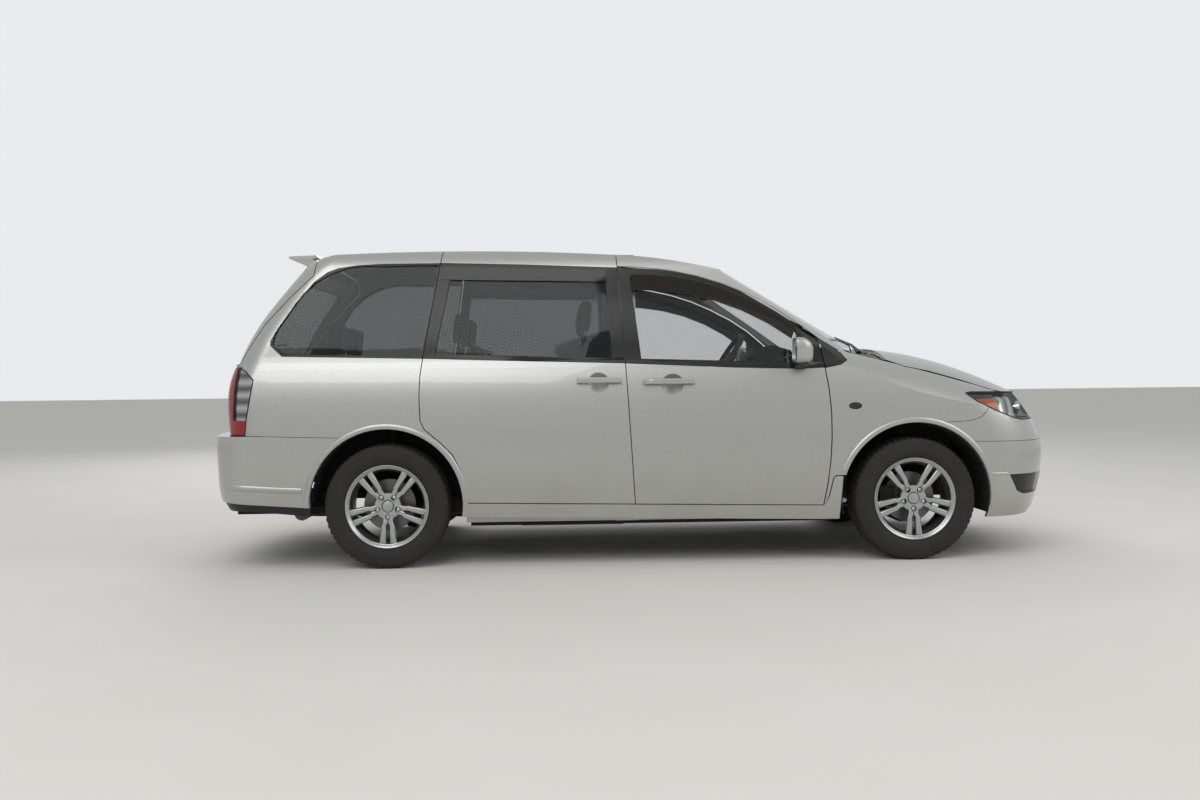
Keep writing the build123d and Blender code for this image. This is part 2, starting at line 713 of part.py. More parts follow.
def underbody():
    """Floor, bulkhead, front rails with the strut towers, and the rear wheelhouses."""
    floor_y = FLOOR_HALF - SEAT_GAP
    one = box(rear(430), front(-415), -floor_y, floor_y, 200, 232)
    one = one + slab([(rear(440), 200), (rear(440), 232), (rear(415), 380), (rear(-360), 380),
                      (rear(-400), 300), (rear(-880), 300), (rear(-880), 265), (rear(-370), 265),
                      (rear(-330), 345), (rear(380), 345), (rear(400), 200)], 545, -545)
    one = one + box(front(-455), front(-415), -floor_y, floor_y, 225, 1065)
    one = one + box(front(-440), front(-150), -floor_y, floor_y, 1020, 1065)
    one = one + both(box(front(-430), front(800), -400, -470, 420, 520))
    one = one + both(box(front(-430), front(330), -455, -470, 500, 900))
    one = one + both(box(front(-90), front(90), -460, -640, 885, 900))
    horn = box(front(790), NOSE_X, -400, -470, 460, 520) & lower_body(BUMPER_WALL + SEAT_GAP)
    one = one + both(horn)
    tie = box(front(600), front(640), -440, 440, 300, 520)
    tie = tie - box(front(590), front(650), -300, 300, 340, 480)
    bx, bz = front(BONNET_HINGE[0]), BONNET_HINGE[1]
    for y in BONNET_HINGES:
        stay = box(bx - 9, bx + 9, -y + 16, -y + 26, 1050, bz + 9)
        pin = rod((bx, -y + 17, bz), (bx, -y, bz), HINGE_PIN)
        one = one + both(stay + pin)
    one = one + box(front(-160), front(-118), -440, 440, 1030, 1065)
    return one + tie + both(wheelhouse())


keep_both("side_skirts", side_skirt())
keep("cowl_panel", cowl_panel())
keep_both("front_liners", front_liner())
keep("underbody", underbody())
keep("engine", box(front(-140), front(430), -399.7, 399.7, 440, 500)
     + box(front(-120), front(420), -330, 330, 290, 830))
keep("fuel_tank", box(mid(-720), mid(-140), -480, 60, 168, 200 - SEAT_GAP))

# Running gear. The steering axis leans in from the ball joint to the strut's top.
BALL_Y, BALL_Z = 715, 200
STRUT_Y, STRUT_Z = 545, 885
STUB_R = HUB_BORE - PIN_GAP
DISC_IN, DISC_OUT = 748, 770
HUB_FACE = 815


def on_axis(z):
    """Point of the right steering axis at one height."""
    k = (z - BALL_Z) / (STRUT_Z - BALL_Z)
    return (AXLE_F, -BALL_Y + k * (BALL_Y - STRUT_Y), z)


def knuckle():
    boss = rod(on_axis(226), on_axis(268), 18) - rod(on_axis(200), on_axis(256), 10 + PIN_GAP)
    carrier = box(front(-28), front(28), -645, -712, 262, 420)
    strut = rod(on_axis(400), on_axis(640), 20)
    stub = rod((AXLE_F, -690, TYRE_R), (AXLE_F, -HUB_FACE + 8, TYRE_R), STUB_R)
    caliper = box(front(-168), front(-90), -725, -792, 285, 395)
    caliper = caliper - rod((AXLE_F, -DISC_IN + 6, TYRE_R), (AXLE_F, -DISC_OUT - 6, TYRE_R), 146)
    yoke = box(front(-165), front(-20), -690, -727, 300, 380)
    one = boss + (carrier + strut + stub + yoke + caliper)
    return one - rod(on_axis(560), on_axis(660), 10 + PIN_GAP)


def front_suspension():
    """Crossmember, lower arms with their ball pins, and the struts' upper halves."""
    beam = box(front(-60), front(60), 0, -420, 215, 265)
    leg = box(front(-60), front(60), -400, -470, 215, 420 - SEAT_GAP)
    arm = box(front(-40), front(40), -465, -BALL_Y + 5, 188, 214) + box(
        front(-40), front(40), -420, -470, 188, 240)
    pin = rod(on_axis(195), on_axis(250), 10)
    piston = rod(on_axis(570), on_axis(882.2), 10)
    spring = rod(on_axis(690), on_axis(870), 48)
    seat = rod(on_axis(660), on_axis(690), 62) & box(front(-80), front(80), 0, -700, 662, 700)
    strut = piston + spring + seat
    return Compound([whole(beam + leg + arm + pin).solid(), strut.solid(), mirrored(strut).solid()])


def rear_axle():
    arm = slab([(rear(440), 280), (rear(440), 344.7), (rear(380), 344.7), (rear(300), 340),
                (rear(-30), 372), (rear(-50), 300), (rear(300), 262)], -565, -625)
    beam = box(rear(230), rear(290), 0, -570, 262, 322)
    stub = rod((AXLE_R, -620, TYRE_R), (AXLE_R, -HUB_FACE + 8, TYRE_R), STUB_R)
    carrier = rod((AXLE_R, -620, TYRE_R), (AXLE_R, -735, TYRE_R), 38)
    damper = rod((AXLE_R, -592, 360), (AXLE_R, -592, TYRE_R + ARCH_RISE + ARCH_R - 1.8), 32)
    return whole(arm + beam + stub + carrier + damper)


def revolved(profile, axle, side_y):
    """A ring turned about a wheel's axle; the profile is (offset outward, radius)."""
    pts = [Vector(0, o, r) for o, r in profile]
    face = Face(Wire.make_polygon(pts, close=True))
    ring = revolve(face, Axis((0, 0, 0), (0, 1, 0)), 360)
    if side_y < 0:
        ring = mirror(ring, about=Plane.XZ)
    return Pos(axle, side_y, TYRE_R) * ring


RIM = [(98, 196), (98, 222), (91, 222), (88, 205), (62, 203), (40, 193), (-30, 193), (-58, 203),
       (-88, 205), (-91, 222), (-98, 222), (-98, 213), (-80, 196), (-60, 195), (-34, 185),
       (38, 185), (60, 192)]
TYRE = [(87.4, 205.4), (90.4, 222.4), (99, 226), (105, 245), (107.5, 268), (104, 300),
        (96, 322), (86, 330), (60, TYRE_R), (-60, TYRE_R), (-86, 330), (-96, 322), (-104, 300),
        (-107.5, 268), (-105, 245), (-99, 226), (-90.4, 222.4), (-87.4, 205.4)]
HUB = [(HUB_FACE - 770, HUB_BORE), (HUB_FACE - 770, 70), (DISC_OUT - 770, 70),
       (DISC_OUT - 770, 140), (DISC_IN - 770, 140), (DISC_IN - 770, 60), (DISC_IN - 776, 60),
       (DISC_IN - 776, HUB_BORE)]
SPOKE_IN, SPOKE_OUT = HUB_FACE - 770, HUB_FACE - 740


def spokes(axle, side_y):
    """Five pairs of spokes round the centre, as one star."""
    star = Cylinder(66, SPOKE_OUT - SPOKE_IN)
    for i in range(SPOKES):
        for lean in (-1, 1):
            pts = [(lean * 4, 30), (lean * 30, 30), (lean * 47, 190), (lean * 22, 190)]
            blade = extrude(make_face(Polyline(*[(x, y) for x, y in pts], close=True)),
                            amount=(SPOKE_OUT - SPOKE_IN) / 2, both=True)
            star = star + Rot(0, 0, 360 / SPOKES * i) * blade
    way = 1 if side_y > 0 else -1
    place = Pos(axle, side_y + way * (SPOKE_IN + SPOKE_OUT) / 2, TYRE_R) * Rot(-90 * way, 0, 0)
    return place * star


def wheel(axle, side_y):
    rim = revolved(RIM, axle, side_y) + spokes(axle, side_y) + revolved(HUB, axle, side_y)
    return rim, revolved(TYRE, axle, side_y)


for name, axle, side_y in (
    ("front_left", AXLE_F, TRACK_F / 2), ("front_right", AXLE_F, -TRACK_F / 2),
    ("rear_left", AXLE_R, TRACK_R / 2), ("rear_right", AXLE_R, -TRACK_R / 2),
):
    rim, tyre = wheel(axle, side_y)
    keep("rim_" + name, rim)
    keep("tyre_" + name, tyre)
keep_pair("knuckle", knuckle())
keep("front_suspension", front_suspension())
keep("rear_axle", rear_axle())

# Mirrors, handles, visors and the exhaust
CAN_R, PIPE_R, TAIL_PIPE_R = 45, 25, 22
CAN_Z = 219.6
FRONT_VISOR = (
    [(x + 6, z + 16) for x, z in glass_top] + [(mid(-100), 1480)]
    + curve((mid(-100), 1480), (front(-900), 1352), (front(-660), 1205), 6)
)
SLIDING_VISOR = [(rear(310), 1616), (rear(290), 1548), (mid(-232), 1530), (mid(-240), 1596)]


def visor(outline):
    """A smoked deflector lying just off the skin."""
    return (Pos(0, -SKIN - SEAT_GAP, 0) * skin) & slab(outline, 0, -W)


def door_mirror():
    """Mirror housing on its foot at the front corner of the door window."""
    x0, x1, z0, z1 = front(-668), front(-572), 1046, 1216
    shell = Pos((x0 + x1) / 2, -948, (z0 + z1) / 2) * Box(x1 - x0, 134, z1 - z0)
    shell = fillet(shell.edges(), 38)
    foot = slab([(x0 + 14, z0 + 4), (x1 - 14, z0 + 4), (x1 - 8, z0 + 44), (x0 + 8, z0 + 44)],
                -864, -910)
    outer = Pos(0, -SEAT_GAP, 0) * OUT
    return shell + (foot - outer)


def exhaust():
    """Silencer crosswise behind the rear axle, with its pipe along the floor."""
    bend = (rear(350), 120, 174.4)
    can = rod((rear(-620), -150, CAN_Z), (rear(-620), 330, CAN_Z), CAN_R)
    pipe = rod((front(-500), 120, 174.4), bend, PIPE_R)
    to_can = rod(bend, (rear(-620), 30, 203), PIPE_R)
    tail = rod((rear(-620), 280, 222), (rear(-900), 300, 238), TAIL_PIPE_R)
    return can + pipe + to_can + Pos(*bend) * Sphere(PIPE_R) + tail


def cabin_mirror():
    stem = rod((mid(396), 0, 1660), (mid(392), 0, 1520), 8) & (Pos(0, 0, -SEAT_GAP) * THICK)
    glass = fillet(Box(24, 240, 64).edges(), 8)
    return stem + Pos(mid(392), 0, 1500) * glass


# Cabin
WHEEL_X, WHEEL_Y, WHEEL_Z = front(-953), -370, 1092
WHEEL_TILT = 32
SEAT_Y = 370


def dashboard():
    lower = slab([(front(-455) - SEAT_GAP, 640), (front(-455) - SEAT_GAP, 1066), (front(-330), 1066),
                  (front(-330), 1110), (front(-600), 1122), (front(-760), 1080), (front(-790), 1000),
                  (front(-740), 860), (front(-640), 640)], 672, -672)
    hood = slab([(front(-560), 1100), (front(-600), 1150), (front(-700), 1180), (front(-800), 1165),
                 (front(-810), 1120), (front(-760), 1060)], WHEEL_Y - 150, WHEEL_Y + 150)
    tilt = radians(WHEEL_TILT)
    wx, wz = -cos(tilt), sin(tilt)
    column = rod((WHEEL_X - 260 * wx, WHEEL_Y, WHEEL_Z - 260 * wz),
                 (WHEEL_X - 52 * wx, WHEEL_Y, WHEEL_Z - 52 * wz), 38)
    pin = rod((WHEEL_X - 60 * wx, WHEEL_Y, WHEEL_Z - 60 * wz),
              (WHEEL_X - 12 * wx, WHEEL_Y, WHEEL_Z - 12 * wz), 8)
    return lower + hood + column + pin


def steering_wheel():
    ring = Torus(172, 14)
    hub = Pos(0, 0, -18) * Cylinder(62, 44)
    bars = None
    for turn in (0, 180, 270):
        one = Rot(0, 0, turn) * (Pos(108, 0, -10) * Box(130, 34, 16))
        bars = one if bars is None else bars + one
    one = ring + hub + bars
    one = one - Pos(0, 0, -30) * Cylinder(8 + PIN_GAP, 36.6)
    plane = Plane(origin=(WHEEL_X, WHEEL_Y, WHEEL_Z), x_dir=(0, 1, 0),
                  z_dir=(-cos(radians(WHEEL_TILT)), 0, sin(radians(WHEEL_TILT))))
    return plane * one


def seat(x, y, floor_z, width, back_top):
    """One seat: cushion, back and headrest on its base, seen from the side and given its width."""
    half = width / 2
    base = box(x - 200, x + 200, y - half + 60, y + half - 60, floor_z + SEAT_GAP, floor_z + 130)
    cushion = slab([(x - 220, floor_z + 130), (x + 270, floor_z + 130), (x + 290, floor_z + 200),
                    (x + 250, floor_z + 320), (x - 180, floor_z + 280)], y - half, y + half)
    back = slab([(x - 130, floor_z + 200), (x - 210, floor_z + 700), (x - 260, back_top),
                 (x - 350, back_top), (x - 390, floor_z + 880), (x - 300, floor_z + 160)],
                y - half, y + half)
    post = box(x - 318, x - 302, y - 60, y + 60, back_top - 20, back_top + 60)
    rest = slab([(x - 265, back_top + 30), (x - 262, back_top + 150), (x - 290, back_top + 200),
                 (x - 340, back_top + 195), (x - 352, back_top + 40)], y - 135, y + 135)
    return base + cushion + back + post + rest


def seats():
    rows = []
    for x, y, z, width, top_z in (
        (mid(-40), SEAT_Y, 232, 500, 1245), (mid(-40), -SEAT_Y, 232, 500, 1245),
        (mid(-760), 300, 232, 460, 1180), (mid(-760), -300, 232, 460, 1180),
        (rear(-60), 260, 380, 480, 1130), (rear(-60), -260, 380, 480, 1130),
    ):
        rows.append(seat(x, y, z, width, top_z).solid())
    return Compound(rows)


keep("cabin_mirror", cabin_mirror())
keep("exhaust", exhaust())
keep_pair("door_mirror", door_mirror())
keep_pair("front_visor", visor(FRONT_VISOR))
keep_both("sliding_visors", visor(SLIDING_VISOR))
keep_both("sliding_handles", handle(mid(-404), mid(-163), 993))
keep("dashboard", dashboard())
keep("steering_wheel", steering_wheel())
keep("seats", seats())

if __name__ == "__main__":
    os.makedirs("parts", exist_ok=True)
    for name, shape in nodes.items():
        export_step(shape, f"parts/{name}.step")
        print(name, round(shape.volume / 1e6, 2), len(shape.solids()))
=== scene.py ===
# %% [markdown]
# # A silver people carrier, dressed for its picture
# The solids of the vehicle come in as a fixed frame. This notebook gives each of them the
# finish of the real panel, pane or casting, and adds the fine pieces that a solid model
# leaves out: tread, spokes, lamp bowls, window surrounds, stitching and wipers.
# Every length below is in millimetres, as on a workshop drawing, and is turned into
# Blender's metres in one place.

# %% Start: load the frame and keep its box
import bpy
import bmesh
from math import sin, cos, pi, radians, sqrt, atan2, hypot
from mathutils import Vector, Matrix
from mathutils.bvhtree import BVHTree


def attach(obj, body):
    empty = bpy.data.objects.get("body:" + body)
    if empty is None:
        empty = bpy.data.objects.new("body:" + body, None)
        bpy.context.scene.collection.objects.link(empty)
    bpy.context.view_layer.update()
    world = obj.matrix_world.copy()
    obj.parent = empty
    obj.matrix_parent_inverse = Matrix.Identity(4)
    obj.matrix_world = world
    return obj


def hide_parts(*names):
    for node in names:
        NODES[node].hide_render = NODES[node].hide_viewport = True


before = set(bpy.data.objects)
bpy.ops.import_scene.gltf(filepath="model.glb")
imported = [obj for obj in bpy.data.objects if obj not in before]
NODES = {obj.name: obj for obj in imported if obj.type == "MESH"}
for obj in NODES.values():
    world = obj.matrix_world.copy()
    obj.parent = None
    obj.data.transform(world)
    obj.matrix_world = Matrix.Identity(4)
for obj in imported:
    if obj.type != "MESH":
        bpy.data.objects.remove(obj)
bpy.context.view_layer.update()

MM = 0.001
MID_X = 37.5
WHEEL_PLACES = {
    "front_left": (1457.5, 770), "front_right": (1457.5, -770),
    "rear_left": (-1382.5, 772.5), "rear_right": (-1382.5, -772.5),
}
AXLE_Z = 332
print("frame loaded:", len(NODES), "nodes")

# %% [markdown]
# ## Colours and shader nodes
# A paint code is written as a hex number, the way a web page or a paint chart gives it.
# Blender wants linear light, so one function turns one into the other. A second small
# function adds any shader node with its settings and links, so that a finish reads as a
# short list of what it is made of.

# %% Colour and node helpers
def colour(code):
    """A hex colour as linear red, green, blue and alpha."""
    parts = [int(code[i:i + 2], 16) / 255 for i in (1, 3, 5)]
    return [p / 12.92 if p <= 0.04045 else ((p + 0.055) / 1.055) ** 2.4 for p in parts] + [1.0]


def add(tree, kind, values=None, links=None, **settings):
    """Adds a node; values fill its sockets and links join other nodes' outputs to them."""
    node = tree.nodes.new(kind)
    for name, value in settings.items():
        setattr(node, name, value)
    for socket, value in (values or {}).items():
        node.inputs[socket].default_value = value
    for socket, source in (links or {}).items():
        tree.links.new(source, node.inputs[socket])
    return node


def finish(name, base, roughness, metallic=0.0, **more):
    """A new material on the Principled shader; further sockets are given by name."""
    made = bpy.data.materials.new(name)
    made.use_nodes = True
    shader = made.node_tree.nodes["Principled BSDF"]
    shader.inputs["Base Color"].default_value = colour(base)
    shader.inputs["Roughness"].default_value = roughness
    shader.inputs["Metallic"].default_value = metallic
    for socket, value in more.items():
        shader.inputs[socket.replace("_", " ")].default_value = value
    return made, made.node_tree, shader


def blend_colours(tree, factor, dark, light):
    """Mixes two hex colours by a factor that comes from another node."""
    mixer = add(tree, "ShaderNodeMix", data_type="RGBA",
                values={6: colour(dark), 7: colour(light)}, links={0: factor})
    return mixer.outputs[2]


def grain(tree, size_mm, detail=2.0):
    """Noise whose blotches are about so many millimetres across."""
    place = add(tree, "ShaderNodeTexCoord")
    noise = add(tree, "ShaderNodeTexNoise", values={"Scale": 1000.0 / size_mm, "Detail": detail},
                links={"Vector": place.outputs["Object"]})
    return noise.outputs[0]


def raise_from(tree, shader, height, depth_mm, strength=1.0):
    """Makes a bump of so many millimetres from a height pattern."""
    bump = add(tree, "ShaderNodeBump", values={"Strength": strength, "Distance": depth_mm * MM},
               links={"Height": height})
    tree.links.new(bump.outputs[0], shader.inputs["Normal"])
    return bump


print("helpers ready")

# %% [markdown]
# ## Metallic lacquer
# Silver car paint is a grey base full of tiny aluminium flakes under a clear coat. The
# flakes are a few hundredths of a millimetre across, far too fine to show here, so they
# are drawn 2 mm wide and faint. Towards the bottom the paint turns darker and browner, in patches.

# %% Body paint
def lacquer(name, metallic, roughness):
    made, tree, shader = finish(name, "#B3B3AF", roughness, metallic,
                                Coat_Weight=1.0, Coat_Roughness=0.04)
    place = add(tree, "ShaderNodeTexCoord")
    flakes = add(tree, "ShaderNodeTexVoronoi", values={"Scale": 1000.0 / 2.0},
                 links={"Vector": place.outputs["Object"]})
    paint = blend_colours(tree, flakes.outputs["Color"], "#A9A9A6", "#BDBDB9")
    # Below 0.75 m the colour is mixed towards a darker brown-grey in noisy patches, most at the bottom.
    height = add(tree, "ShaderNodeSeparateXYZ", links={0: place.outputs["Object"]})
    low = add(tree, "ShaderNodeMapRange", values={1: 0.75, 2: 0.2, 3: 0.0, 4: 0.45},
              links={0: height.outputs["Z"]})
    cloud = add(tree, "ShaderNodeMath", operation="MULTIPLY",
                links={0: low.outputs[0], 1: grain(tree, 160, 5.0)})
    low_brown_tint = add(tree, "ShaderNodeMix", data_type="RGBA", values={7: colour("#86837A")},
               links={0: cloud.outputs[0], 6: paint})
    tree.links.new(low_brown_tint.outputs[2], shader.inputs["Base Color"])
    return made


BODY_PAINT = lacquer("silver metallic lacquer on steel", 0.72, 0.36)
BUMPER_PAINT = lacquer("silver metallic lacquer on plastic", 0.66, 0.38)
print("paints:", BODY_PAINT.name, "and", BUMPER_PAINT.name)

# %% [markdown]
# ## Glass and clear plastics
# A pane is a few millimetres thick and hardly bends the view, so it is drawn as a thin
# film that lets part of the light straight through. The front panes are nearly clear.
# Behind the front seats the glass is dyed dark, and the rain visors are smoked acrylic.
# The coloured lenses have fine prisms moulded across them, 7 or 8 mm apart.

# %% Glass
def pane(name, base, alpha, ior, roughness=0.02, haze_mm=90, prism_mm=0):
    made, tree, shader = finish(name, base, roughness, 0.0, IOR=ior, Alpha=alpha)
    film = add(tree, "ShaderNodeMapRange", values={1: 0.3, 2: 0.8, 3: roughness, 4: roughness + 0.05},
               links={0: grain(tree, haze_mm, 4.0)})
    tree.links.new(film.outputs[0], shader.inputs["Roughness"])
    if prism_mm:
        place = add(tree, "ShaderNodeTexCoord")
        ribs = add(tree, "ShaderNodeTexWave", bands_direction="Z", values={"Scale": 1000.0 / prism_mm / 20},
                   links={"Vector": place.outputs["Object"]})
        raise_from(tree, shader, ribs.outputs[1], 1.5)
    return made


CLEAR_GLASS = pane("clear float glass", "#1E2624", 0.16, 2.1)
PRIVACY_GLASS = pane("dark dyed glass", "#070B10", 0.5, 1.5)
SMOKED_ACRYLIC = pane("smoked acrylic", "#15110D", 0.86, 1.5)
LENS_CLEAR = pane("clear polycarbonate", "#33383A", 0.14, 2.3)
LENS_RED = pane("red acrylic lens", "#A80A0E", 0.92, 1.6, prism_mm=8)
LENS_AMBER = pane("amber acrylic lens", "#B4581A", 0.86, 1.6, prism_mm=7)
print("six clear finishes")

# %% [markdown]
# ## Rubber, plastics and cloth
# Moulded plastic carries a fine leather grain that breaks up its shine. Tyre rubber is
# dull and dusty. The seats are a flat woven cloth, whose threads are about half a
# millimetre wide and are drawn at 3 mm, so that the weave shows at this distance.

# %% Rubber and plastics
def moulded(name, dark, light, roughness, grain_mm=1.5, depth_mm=0.3, **more):
    made, tree, shader = finish(name, dark, roughness, **more)
    tree.links.new(blend_colours(tree, grain(tree, 60, 4.0), dark, light), shader.inputs["Base Color"])
    raise_from(tree, shader, grain(tree, grain_mm, 2.0), depth_mm, 0.5)
    return made


BLACK_TRIM = moulded("black moulded plastic", "#0A0A0B", "#121213", 0.42)
SATIN_BLACK = moulded("satin black sash tape", "#070707", "#0D0C0B", 0.30, 3.0, 0.05)
LINER_BLACK = moulded("rough black liner", "#0B0B0B", "#17150F", 0.85, 6.0, 1.0)
CABIN_PLASTIC = moulded("grained cabin plastic", "#26272A", "#303134", 0.62)
PALE_TRIM = moulded("pale grey headlining", "#8C8B85", "#9A9992", 0.90, 2.0, 0.3)
DOOR_CARD = moulded("grey door card", "#4A4A48", "#575652", 0.80, 2.0, 0.3)
TYRE_RUBBER = moulded("worn tyre rubber", "#161617", "#2B2925", 0.78, 2.5, 0.4)
WIPER_RUBBER = moulded("wiper rubber", "#0C0C0C", "#141414", 0.6)
CAST_IRON = moulded("rough cast iron", "#1F1E1D", "#34302B", 0.7, 4.0, 0.8, metallic=0.6)
DULL_STEEL = moulded("dull exhaust steel", "#5A554D", "#75706A", 0.45, 8.0, 0.2, metallic=0.9)
UNDERSEAL = moulded("stone-chip underseal", "#17181A", "#232323", 0.9, 5.0, 1.0)
PLATE_WHITE = moulded("white pressed plate", "#C9C9C4", "#D5D5D0", 0.4, 20.0, 0.05)
print("moulded finishes ready")

# %% Metals
def metal(name, base, light, roughness, wear_mm=14):
    made, tree, shader = finish(name, base, roughness, 1.0)
    tree.links.new(blend_colours(tree, grain(tree, wear_mm, 5.0), base, light), shader.inputs["Base Color"])
    rough = add(tree, "ShaderNodeMapRange", values={1: 0.3, 2: 0.75, 3: roughness - 0.05, 4: roughness + 0.12},
                links={0: grain(tree, wear_mm * 0.7, 4.0)})
    tree.links.new(rough.outputs[0], shader.inputs["Roughness"])
    return made


WHEEL_SILVER = metal("silver lacquered alloy", "#A9ABAB", "#BEC0C0", 0.30)
CHROME = metal("chrome plate", "#C4C6C8", "#D4D6D8", 0.10)
BRAKE_IRON = metal("turned brake iron", "#6A6763", "#837E78", 0.38)
REFLECTOR = metal("vacuum-plated reflector", "#C9CBCD", "#DADCDE", 0.14)
MIRROR = metal("silvered mirror", "#D0D3D6", "#D8DBDE", 0.04)
print("metals ready")

# %% Woven cloth
def woven(name, dark, light, thread_mm):
    made, tree, shader = finish(name, dark, 0.92, Sheen_Weight=0.25)
    place = add(tree, "ShaderNodeTexCoord")
    waves = []
    for way in ("Y", "Z"):
        waves.append(add(tree, "ShaderNodeTexWave", bands_direction=way,
                         values={"Scale": 1000.0 / thread_mm / 20, "Distortion": 0.4},
                         links={"Vector": place.outputs["Object"]}).outputs[1])
    cloth = add(tree, "ShaderNodeMath", operation="MULTIPLY", links={0: waves[0], 1: waves[1]})
    tree.links.new(blend_colours(tree, cloth.outputs[0], dark, light), shader.inputs["Base Color"])
    raise_from(tree, shader, cloth.outputs[0], 0.4)
    return made


SEAT_CLOTH = woven("woven seat cloth", "#3D3C3B", "#5A5855", 3.0)
print("cloth:", SEAT_CLOTH.name)

# %% [markdown]
# ## Dressing a piece
# Each piece that is added here rides on one of the moving bodies, takes its finish, and may
# stand in place of a solid. One helper does all of it, and smooths the mesh but keeps edges
# sharper than a given angle.

# %% Piece helpers
def dress(obj, surface, body, hides=(), crease=35):
    obj.data.materials.clear()
    obj.data.materials.append(surface)
    obj.data.polygons.foreach_set("use_smooth", [True] * len(obj.data.polygons))
    obj.data.set_sharp_from_angle(angle=radians(crease))
    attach(obj, body)
    if hides:
        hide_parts(*hides)
    return obj


def mesh_object(name, points, faces):
    """A new object from points in millimetres."""
    mesh = bpy.data.meshes.new(name)
    mesh.from_pydata([Vector(p) * MM for p in points], [], faces)
    mesh.validate()
    obj = bpy.data.objects.new(name, mesh)
    bpy.context.scene.collection.objects.link(obj)
    return obj


def baked(obj):
    """Turns an object's modifiers into plain mesh and removes them."""
    seen = obj.evaluated_get(bpy.context.evaluated_depsgraph_get())
    mesh = bpy.data.meshes.new_from_object(seen)
    obj.modifiers.clear()
    obj.data = mesh
    return obj


def mended(obj, gap_mm=0.02):
    """Merges doubled points and turns every face outwards."""
    bm = bmesh.new()
    bm.from_mesh(obj.data)
    bmesh.ops.remove_doubles(bm, verts=bm.verts, dist=gap_mm * MM)
    bmesh.ops.recalc_face_normals(bm, faces=bm.faces)
    bm.to_mesh(obj.data)
    bm.free()
    return obj


def joined(name, parts):
    """One mesh object from several, all of one finish."""
    bm = bmesh.new()
    for part in parts:
        bm.from_mesh(part.data)
        bpy.data.objects.remove(part)
    mesh = bpy.data.meshes.new(name)
    bm.to_mesh(mesh)
    bm.free()
    obj = bpy.data.objects.new(name, mesh)
    bpy.context.scene.collection.objects.link(obj)
    return obj


print("piece helpers ready")

# %% [markdown]
# ## Finishes for the solids
# Most panels, panes and castings already have their right shape in the frame, so they
# keep it and only take their real finish. The list reads as a paint shop's job sheet.

# %% Give every solid its finish
JOBS = (
    (BODY_PAINT, "front_door_right front_door_left sliding_door_right sliding_door_left roof bonnet "
                 "side_frame_right side_frame_left fender_right fender_left tailgate"),
    (BUMPER_PAINT, "front_bumper rear_bumper side_skirts sliding_handles door_mirror_right "
                   "door_mirror_left"),
    (CLEAR_GLASS, "front_glass_right front_glass_left windscreen"),
    (PRIVACY_GLASS, "sliding_glass quarter_glass rear_glass"),
    (SMOKED_ACRYLIC, "front_visor_right front_visor_left sliding_visors"),
    (BLACK_TRIM, "sail_panels rear_valance cowl_panel fog_pans"),
    (LINER_BLACK, "front_liners"),
    (CHROME, "grille"),
    (CABIN_PLASTIC, "dashboard steering_wheel cabin_mirror"),
    (SEAT_CLOTH, "seats"),
    (WHEEL_SILVER, "rim_front_right rim_front_left rim_rear_right rim_rear_left"),
    (TYRE_RUBBER, "tyre_front_right tyre_front_left tyre_rear_right tyre_rear_left"),
    (CAST_IRON, "engine knuckle_right knuckle_left front_suspension rear_axle"),
    (DULL_STEEL, "exhaust fuel_tank"),
    (UNDERSEAL, "underbody"),
)
for surface, names in JOBS:
    for name in names.split():
        for held in NODES[name].material_slots:
            held.material = surface
print("finishes given to", sum(len(names.split()) for _, names in JOBS), "solids")

# %% [markdown]
# ## Black window surrounds
# On the real van the frames round the side windows are covered with satin black tape, so
# that the glass reads as one dark band. The frames are part of the doors' solids. Here
# every face of a door that lies inside the band's outline is copied, lifted by half a
# millimetre and made black. The outline bulges outwards everywhere, so it can be cut out
# with one straight cut along each of its edges.

# %% Cut a band out of a solid
def loose_copy(node):
    """A merged copy of a solid's mesh to cut from; the solid itself is left alone."""
    bm = bmesh.new()
    bm.from_mesh(NODES[node].data)
    bmesh.ops.remove_doubles(bm, verts=bm.verts, dist=0.01 * MM)
    return bm


def keep_inside(bm, outline):
    """Keeps what a side view outline of (x, z) points, drawn anticlockwise, encloses."""
    for (x0, z0), (x1, z1) in zip(outline, outline[1:] + outline[:1]):
        outwards = Vector((z1 - z0, 0, -(x1 - x0)))
        bmesh.ops.bisect_plane(bm, geom=bm.verts[:] + bm.edges[:] + bm.faces[:], dist=1e-6,
                               plane_co=Vector((x0, 0, z0)) * MM, plane_no=outwards,
                               clear_outer=True)


def film(name, node, outline, surface, body, slot, proud=0.5, wanted=None):
    """A thin film over the part of a solid that lies inside an outline."""
    bm = loose_copy(node)
    keep_inside(bm, outline)
    if wanted:
        bmesh.ops.delete(bm, geom=[f for f in bm.faces if not wanted(f)], context="FACES")
    bm.normal_update()
    for v in bm.verts:
        v.co += v.normal * proud * MM
    mesh = bpy.data.meshes.new(name)
    bm.to_mesh(mesh)
    bm.free()
    obj = bpy.data.objects.new(name, mesh)
    bpy.context.scene.collection.objects.link(obj)
    return dress(obj, surface, body)


def at_row(points):
    """Moves traced points from the middle of the wheelbase to the frame's origin."""
    return [(x + MID_X, z) for x, z in points]


